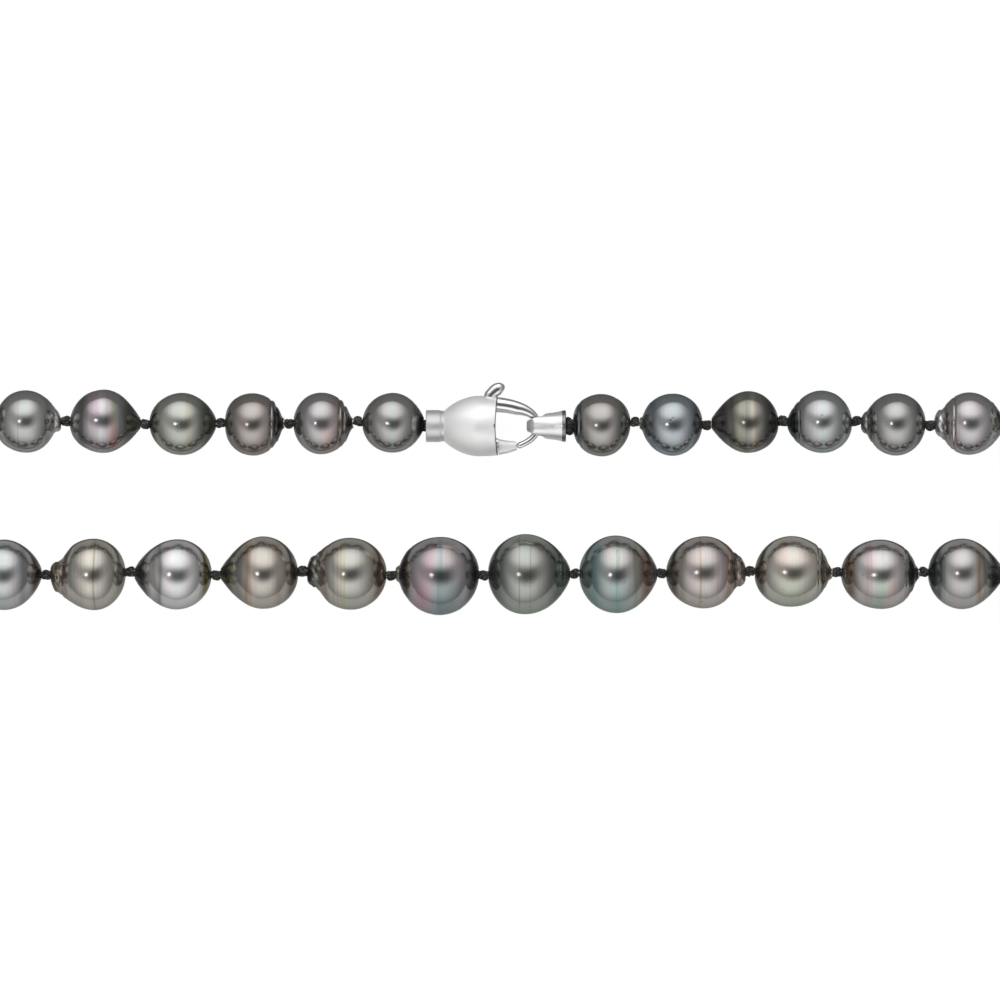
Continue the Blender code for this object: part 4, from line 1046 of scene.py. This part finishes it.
polish = bpy.data.node_groups.new("hand_polish", "ShaderNodeTree")
polish.interface.new_socket("Haze", in_out="INPUT", socket_type="NodeSocketFloat")
for name in ("Roughness", "Height", "Smear"):
    polish.interface.new_socket(name, in_out="OUTPUT", socket_type="NodeSocketFloat")
given = polish.nodes.new("NodeGroupInput")
result = polish.nodes.new("NodeGroupOutput")
place = polish.nodes.new("ShaderNodeTexCoord").outputs["Object"]
smear = noise(polish, place, SMEARS, 3.0)
drawn = polish.nodes.new("ShaderNodeMapping")
drawn.inputs["Scale"].default_value = SCRATCHES
polish.links.new(place, drawn.inputs["Vector"])
scratch = noise(polish, drawn.outputs[0], 1.0)
haze = product(polish, given.outputs["Haze"], ramp(polish, smear, 0.3, 0.75, 0.8, 1.25))
polish.links.new(haze, result.inputs["Roughness"])
polish.links.new(scratch, result.inputs["Height"])
polish.links.new(smear, result.inputs["Smear"])
print("polish group:", len(polish.nodes), "nodes")

# %% White metal, polished and a little worn


def metal_material(name, bright, dull, haze, metallic=1.0):
    """Polished metal: hazed in places, with very fine scratches along its length."""
    made, tree, shader = new_material(name, haze, metallic)
    group = tree.nodes.new("ShaderNodeGroup")
    group.node_tree = polish
    group.inputs["Haze"].default_value = haze
    worn = ramp(tree, group.outputs["Smear"], 0.25, 0.8)
    tree.links.new(group.outputs["Roughness"], shader.inputs["Roughness"])
    tree.links.new(blend(tree, worn, (*bright, 1.0), (*dull, 1.0)), shader.inputs["Base Color"])
    add_bump(tree, shader, group.outputs["Height"], 0.10, 0.004 * MM)
    return made


satin_metal = metal_material("white_metal_satin", (0.97, 0.97, 0.965), (0.92, 0.92, 0.915),
                             0.48, 0.55)
# Painted shade: the collar is the same white metal as the barrel, made darker
painted_shade_collar_metal = metal_material("white_metal_collar", (0.68, 0.68, 0.675), (0.56, 0.56, 0.555),
                              0.38, 0.6)
soft_metal = metal_material("white_metal_soft", (0.92, 0.92, 0.915), (0.80, 0.80, 0.795),
                            0.30, 0.75)
white_metal = metal_material("white_metal_polished", (0.86, 0.86, 0.855), (0.78, 0.78, 0.775), 0.11)
# Painted shade: a dark copy of the white metal for the rims of the barrel's open front and the
# trumpet's mouth, standing in for the dark inside that they mirror
painted_dark_rim_metal = metal_material("white_metal_dull", (0.26, 0.26, 0.26), (0.18, 0.18, 0.18), 0.3)
spring_metal = metal_material("steel_drawn", (0.58, 0.58, 0.58), (0.46, 0.46, 0.47), 0.2)
for name, finish in (("collar_bar", white_metal), ("tail_bar", white_metal),
                     ("lever_pin", spring_metal)):
    frame["nodes"][name].data.materials.clear()
    frame["nodes"][name].data.materials.append(finish)
print("metals ready")

# %% [markdown]
# Round pieces are turned as on a lathe: a profile of pairs, the place along X and the
# radius there, is carried round. The Screw modifier could do that, but a grid already has
# its faces pointing outwards. Corners are rounded first, since no real edge is sharp.

# %% Turning a profile
PIVOT_BACK, PIVOT_DROP = 3.87 * MM, 1.29 * MM
CLASP = np.array(joint_named["clasp_lever"]["pos_m"]) + [PIVOT_BACK, PIVOT_DROP, 0.0]


def turned(outline, centre, sides=96):
    """A profile of (along, radius) pairs carried round X."""
    ahead, first, second = np.eye(3)
    along, radius = np.array(outline, dtype=float).T
    turn = np.linspace(0.0, 2.0 * math.pi, sides, endpoint=False)
    rim = np.cos(turn)[:, None] * first + np.sin(turn)[:, None] * second
    return grid(centre + along[:, None, None] * ahead + radius[:, None, None] * rim[None])


def rounded(outline, amount, steps=4):
    """The profile with each corner between its ends replaced by a short arc.

    The arc is the curve that leaves one side at most this far before the corner and
    reaches the other side as far after it, bending towards the corner between.
    """
    line = np.array(outline, dtype=float)
    before, corner, after = line[:-2], line[1:-1], line[2:]
    back, on = before - corner, after - corner
    size_back = np.linalg.norm(back, axis=1, keepdims=True)
    size_on = np.linalg.norm(on, axis=1, keepdims=True)
    start = corner + back / size_back * np.minimum(amount, 0.45 * size_back)
    end = corner + on / size_on * np.minimum(amount, 0.45 * size_on)
    t = np.linspace(0.0, 1.0, steps)[None, :, None]
    arc = (1 - t) ** 2 * start[:, None] + 2 * t * (1 - t) * corner[:, None] + t**2 * end[:, None]
    return np.concatenate([line[:1], arc.reshape(-1, 2), line[-1:]])


print("clasp front at", np.round(CLASP / MM, 2))

# %% [markdown]
# The egg's outline is made of two superellipses, a leaner one behind its widest ring and a
# fuller one in front of it. The hook follows the fuller one on. The slot is cut with a
# Boolean, because a hole across a turned surface has no grid of its own.

# %% The egg's outline
NECK, WIDEST, WIDE, REACH = -6.95 * MM, -2.58 * MM, 3.9 * MM, 5.55 * MM
NECK_WIDE, WALL_THICK = 1.95 * MM, 0.75 * MM
REAR_POWER, POWER = 1.7, 2.3


def egg(x):
    """Outer radius at x from the barrel's open front: WIDE (1 - u^p)^(1/p), where u grows
    from 0 at the widest ring to the neck behind it or the hook's tip in front."""
    behind = (WIDEST - NECK) / (1.0 - (NECK_WIDE / WIDE) ** REAR_POWER) ** (1.0 / REAR_POWER)
    rear = np.clip((WIDEST - x) / behind, 0.0, 1.0) ** REAR_POWER
    rear = np.clip(1.0 - rear, 0.0, None) ** (1.0 / REAR_POWER)
    share = np.clip((x - WIDEST) / (REACH - WIDEST), 0.0, 1.0)
    return WIDE * np.where(x < WIDEST, rear, (1.0 - share**POWER) ** (1.0 / POWER))


def upright_share(off):
    """0 at the barrel's sides and 1 at its top and bottom: z^2 / (y^2 + z^2)."""
    return off[:, 2] ** 2 / (off[:, 1] ** 2 + off[:, 2] ** 2 + 1e-12)


print("egg is", round(2.0 * WIDE / MM, 1), "mm wide")

# %% Barrel and collar
COLLAR_LONG, COLLAR_WIDE, COLLAR_BORE = 2.35 * MM, 2.06 * MM, 1.5 * MM
CUP_DEEP, FLOOR_AT = 2.55 * MM, 3.15 * MM
SCOOP, SCOOP_LONG = 0.32 * MM, 2.0 * MM

rim = NECK - COLLAR_LONG
collar = [(rim + CUP_DEEP, 0.0), (rim + CUP_DEEP, COLLAR_BORE), (rim, COLLAR_BORE),
          (rim, COLLAR_WIDE), (NECK - 0.55 * MM, COLLAR_WIDE), (NECK - 0.38 * MM, 1.98 * MM),
          (NECK - 0.12 * MM, 1.97 * MM)]
outside = np.linspace(NECK, 0.0, 44)
inside = np.linspace(0.0, rim + FLOOR_AT, 16)
barrel = list(zip(outside, egg(outside)))
hollow = list(zip(inside, egg(inside) - WALL_THICK)) + [(rim + FLOOR_AT, 0.0)]
front_lip = rounded([barrel[-2], barrel[-1], hollow[0], hollow[1]], 0.17 * MM, 7)
profile = np.concatenate([rounded(collar + barrel[:2], 0.14 * MM)[:-1], barrel[1:-1],
                          front_lip[1:-1], hollow[1:]])
whole = turned(profile, CLASP)

# The open front is scooped: its top and bottom lie a little further back than its sides
off = whole.points - CLASP
fade = np.clip((off[:, 0] + SCOOP_LONG) / SCOOP_LONG, 0.0, 1.0) ** 2
back = np.outer(SCOOP * upright_share(off) * fade, [1.0, 0.0, 0.0])
scooped = whole._replace(points=whole.points - back)
shell = make_piece("clasp_shell", scooped, satin_metal, close=True, crease=40)
print("shell:", len(shell.data.polygons), "faces before the slot is cut")

# %% Slot and finishes of the shell
SLOT = ((-4.37, 1.95, -1.05), (-0.45, 5.85, 1.05))
LIP = 0.17 * MM


def add_finish(mesh, finish, chosen):
    """One more finish, for the faces whose middles are chosen."""
    middles = np.empty(3 * len(mesh.polygons), dtype=np.float32)
    mesh.polygons.foreach_get("center", middles)
    slots = np.empty(len(mesh.polygons), dtype=np.int32)
    mesh.polygons.foreach_get("material_index", slots)
    mesh.materials.append(finish)
    slots[chosen(middles.reshape(-1, 3))] = len(mesh.materials) - 1
    mesh.polygons.foreach_set("material_index", slots)


bound = CLASP + np.array(SLOT) * MM
ring = np.stack([bound[[0, 0, 1, 1], 0], np.zeros(4), bound[[0, 1, 1, 0], 2]], axis=1)
prism = grid(np.stack([ring + [0.0, bound[1, 1], 0.0], ring + [0.0, bound[0, 1], 0.0]]))
cutter = make_piece("slot_cutter", prism, white_metal, close=True)
cut = shell.modifiers.new("slot", "BOOLEAN")
cut.operation, cut.solver, cut.object = "DIFFERENCE", "EXACT", cutter
bpy.context.view_layer.update()
finished = shell.evaluated_get(bpy.context.evaluated_depsgraph_get())
whole = bpy.data.meshes.new_from_object(finished)
shell.modifiers.clear()
shell.data = whole
bpy.data.objects.remove(cutter)
whole.set_sharp_from_angle(angle=math.radians(35))
# The collar takes the darker copy of the metal: painted shade
add_finish(whole, painted_shade_collar_metal, lambda at: at[:, 0] < CLASP[0] + NECK)
# The lip of the open front takes the painted shade
add_finish(whole, painted_dark_rim_metal,
           lambda at: at[:, 0] > CLASP[0] - LIP - SCOOP * upright_share(at - CLASP))
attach(shell, "clasp")
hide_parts("clasp_body")
print("shell:", len(whole.polygons), "faces")

# %% [markdown]
# The hook and the lever are rounded bars that change in width as they go. Both are swept:
# a section is carried along a path in plan, and its width and height are read from a few
# sizes along the way. The hook's path is the egg's own outline, so its outer face carries
# the barrel on; it is thick where it leaves the barrel and slim round the tip.

# %% Sweeping a bar
Bar = namedtuple("Bar", "path inner outer tall")


def even_path(path, count):
    """The same path in plan at even steps, and the share of its length at each."""
    run = np.concatenate([[0.0], np.cumsum(np.linalg.norm(np.diff(path, axis=0), axis=1))])
    share = np.linspace(0.0, 1.0, count)
    return np.stack([np.interp(share * run[-1], run, path[:, k]) for k in (0, 1)], axis=1), share


def swept(bar, start_round, end_round, sides=40, slope=0.8):
    """Sections across a path: an oval, wide in plan from inner to outer and tall in height,
    that shrinks to nothing over a rounded end. The slope sets how its inner side falls
    away: below 1 it is full, above 1 it is a slant."""
    count = len(bar.path)
    ahead = np.gradient(bar.path, axis=0)
    ahead /= np.linalg.norm(ahead, axis=1)[:, None]
    left = np.stack([-ahead[:, 1], ahead[:, 0]], axis=1)
    share = np.linspace(0.0, 1.0, count)
    start = np.clip(share / max(start_round, 1e-9), 0.0, 1.0)
    end = np.clip((1.0 - share) / max(end_round, 1e-9), 0.0, 1.0)
    close = np.sqrt(1.0 - (1.0 - start) ** 2) * np.sqrt(1.0 - (1.0 - end) ** 2)
    angle = np.linspace(0.0, 2.0 * math.pi, sides, endpoint=False)
    cos = np.sign(np.cos(angle)) * np.abs(np.cos(angle)) ** 0.8
    sin = np.sign(np.sin(angle)) * np.abs(np.sin(angle)) ** np.where(cos < 0.0, slope, 0.8)
    middle, half = 0.5 * (bar.outer + bar.inner), 0.5 * (bar.outer - bar.inner) * close
    aside = middle[:, None] + half[:, None] * cos[None]
    plan = bar.path[:, None] + left[:, None] * aside[..., None]
    high = (0.5 * bar.tall * close)[:, None] * sin[None]
    return np.concatenate([plan, high[..., None]], axis=2)


print("bars are swept with 40 points a section")

# %% Hook
turn = np.radians(np.linspace(90.0, -66.0, 120))
x = REACH * np.abs(np.cos(turn)) ** (2.0 / POWER)
y = np.sign(np.sin(turn)) * np.minimum(egg(np.zeros(1)), egg(x))
y = np.where(y < 0.0, 0.94 * y, y)
path = np.concatenate([[(-0.5 * MM, y[0])], np.stack([x, y], axis=1)])
path, share = even_path(path, 100)
thick = np.interp(share, [0.0, 0.28, 0.5, 0.62, 1.0], [2.0, 1.75, 1.0, 0.9, 0.8]) * MM
tall = np.interp(share, [0.0, 0.3, 0.52, 1.0], [2.6, 1.9, 1.05, 1.0]) * MM
outer = np.full_like(thick, -0.04 * MM)
bar = swept(Bar(path, outer - thick, outer, tall), 0.0, 0.03, slope=1.3)
hook = make_piece("clasp_hook", grid(CLASP + bar[:, ::-1]), white_metal, close=True)
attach(hook, "clasp")
print("hook:", len(hook.data.polygons), "faces")

# %% [markdown]
# The lever is two such bars that meet at the pivot: one rises through the slot and swells
# into the thumb tab, the other reaches forward and widens into the gate as soon as it is
# clear of the barrel.

# %% Trigger lever
PIVOT = np.array(joint_named["clasp_lever"]["pos_m"])
TAB_ROUTE = ((0.0, 0.0), (1.4, 2.2), (2.45, 4.2), (2.60, 4.75), (2.88, 5.30), (3.48, 5.86),
             (4.06, 6.22), (4.72, 6.52))
TAB_WIDTHS = ([0.0, 0.3, 0.62, 0.72, 0.86, 1.0], [1.7, 1.2, 1.2, 1.5, 1.66, 1.3])
ARM_ROUTE = ((0.0, 0.0), (4.62, -1.14))
GATE_ROUTE = ((3.89, -1.44), (5.1, -1.40), (6.32, -1.25))
GATE_FROM = 3.8 * MM


def lever_bar(route, count, widths, heights, rounds):
    """A bar along a route in mm from the pivot. Widths and heights are each a list of
    shares of the way and a list of the sizes there, in mm."""
    path, share = even_path(np.array(route) * MM, count)
    wide, tall = (np.interp(share, *sizes) * MM for sizes in (widths, heights))
    return grid(PIVOT + swept(Bar(path, -0.5 * wide, 0.5 * wide, tall), *rounds)[:, ::-1])


tab = lever_bar(TAB_ROUTE, 90, TAB_WIDTHS, ([0.0, 1.0], [1.8, 1.8]), (0.04, 0.12))
arm = lever_bar(ARM_ROUTE, 24, ([0.0, 1.0], [1.7, 1.12]), ([0.0, 0.8, 1.0], [1.8, 1.7, 1.4]),
                (0.1, 0.0))
gate = lever_bar(GATE_ROUTE, 50, ([0.0, 0.5, 1.0], [2.06, 1.62, 1.10]), ([0.0, 1.0], [1.8, 1.3]),
                 (0.015, 0.05))
lever = make_piece("thumb_lever", joined([tab, arm, gate]), white_metal, close=True)
add_finish(lever.data, satin_metal,
           lambda at: (at[:, 0] > PIVOT[0] + GATE_FROM) & (at[:, 1] < PIVOT[1]))
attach(lever, "lever")
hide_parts("trigger_lever")
print("lever:", len(lever.data.polygons), "faces")

# %% [markdown]
# A small coil spring lies behind the lever and pushes it shut, and gives way as the lever
# opens. Here it is a piece of its own, fixed to the clasp with one end against the barrel's
# rear wall, and it keeps its length.

# %% Return spring
WIRE, COILS, PRESSED = 0.14 * MM, 5, 0.50

spring_low, spring_high = (np.array(corner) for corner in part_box("return_spring"))
coil_middle = 0.5 * (spring_low + spring_high)
coil_wide = 0.5 * (spring_high[2] - spring_low[2]) - WIRE


def coil_surface(steps=200, sides=12):
    """A round wire along a helix about X: the place along X grows evenly with the turn t,
    and the wire's ring stands on the line from the axis, at coil_wide + WIRE cos v out."""
    share, ring = np.meshgrid(np.linspace(0.0, 1.0, steps),
                              np.linspace(0.0, 2.0 * math.pi, sides, endpoint=False), indexing="ij")
    turn = 2.0 * math.pi * COILS * share
    coil_long = spring_high[0] - spring_low[0] - 2.0 * WIRE
    along = spring_low[0] + WIRE + coil_long * share + WIRE * np.sin(ring)
    out = coil_wide + WIRE * np.cos(ring)
    return grid(np.stack([along, coil_middle[1] + out * np.cos(turn),
                          coil_middle[2] + out * np.sin(turn)], axis=-1))


spring = make_piece("coil_spring", coil_surface(), spring_metal, close=True)
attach(spring, "clasp")
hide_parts("return_spring")
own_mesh(spring)
print("spring:", len(spring.data.polygons), "faces")

# %% [markdown]
# The tail piece hangs on the hook and holds the strand's other end in a small trumpet. Its
# eye is a ring about Y that grows wider towards the trumpet, so that from above the two
# run together. The trumpet is turned about X.

# %% Tail piece
TAIL = CLASP + [5.10 * MM, 0.0, 0.0]
TRUMPET = ((0.62, 0.0), (0.62, 1.30), (0.95, 1.60), (1.4, 1.69), (2.1, 1.75), (2.7, 1.86),
           (3.15, 2.00), (3.67, 2.07), (3.67, 1.46), (3.47, 1.34), (1.47, 1.32), (1.47, 0.0))
DARK_RIM_FROM = 3.12 * MM


def eye_surface():
    """A ring round Y: its section is a flattened loop round a 1 mm hole, narrow on the
    hook's side and as wide as the trumpet on the other, where its outside runs out
    along the lines z = 1.5 + 0.13 x to meet the trumpet. Points that would stand outside
    the trumpet's cone, of radius 1.56 + 0.09 x about X, are drawn in to it."""
    turn, loop = np.meshgrid(np.linspace(0.0, 2.0 * math.pi, 72, endpoint=False),
                             np.linspace(0.0, 2.0 * math.pi, 32, endpoint=False), indexing="ij")
    half = np.interp(np.cos(turn), [-1.0, -0.55, -0.36, 0.0, 0.3, 1.0],
                     [0.74, 0.96, 1.10, 1.40, 1.52, 1.55])
    wide = half * np.sign(np.sin(loop)) * np.abs(np.sin(loop)) ** 0.8
    slant = 1.5 / np.maximum(np.abs(np.sin(turn)) - 0.13 * np.cos(turn), 0.5)
    outer = np.minimum(slant, np.where(np.cos(turn) < -0.35, 1.42, 2.3))
    swell = np.sign(np.cos(loop)) * np.abs(np.cos(loop)) ** 0.7
    radius = 0.5 * (outer + 1.0) + 0.5 * (outer - 1.0) * swell
    along, high = radius * np.cos(turn), radius * np.sin(turn)
    inward = np.minimum(1.0, (1.56 + 0.09 * along) / np.hypot(wide, high))
    points = np.stack([along, wide * inward, high * inward], axis=-1)
    return grid(TAIL + MM * points, wrap_rows=True)


trumpet = turned(rounded(np.array(TRUMPET) * MM, 0.20 * MM, 5), TAIL)
shape = joined([eye_surface(), trumpet])
tail = make_piece("tail_trumpet", shape, soft_metal, close=True, crease=50)
# Painted shade on the trumpet's mouth end
add_finish(tail.data, painted_dark_rim_metal, lambda at: at[:, 0] > TAIL[0] + DARK_RIM_FROM)
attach(tail, "right_span_1")
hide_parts("tail_piece")
print("tail:", len(tail.data.polygons), "faces")
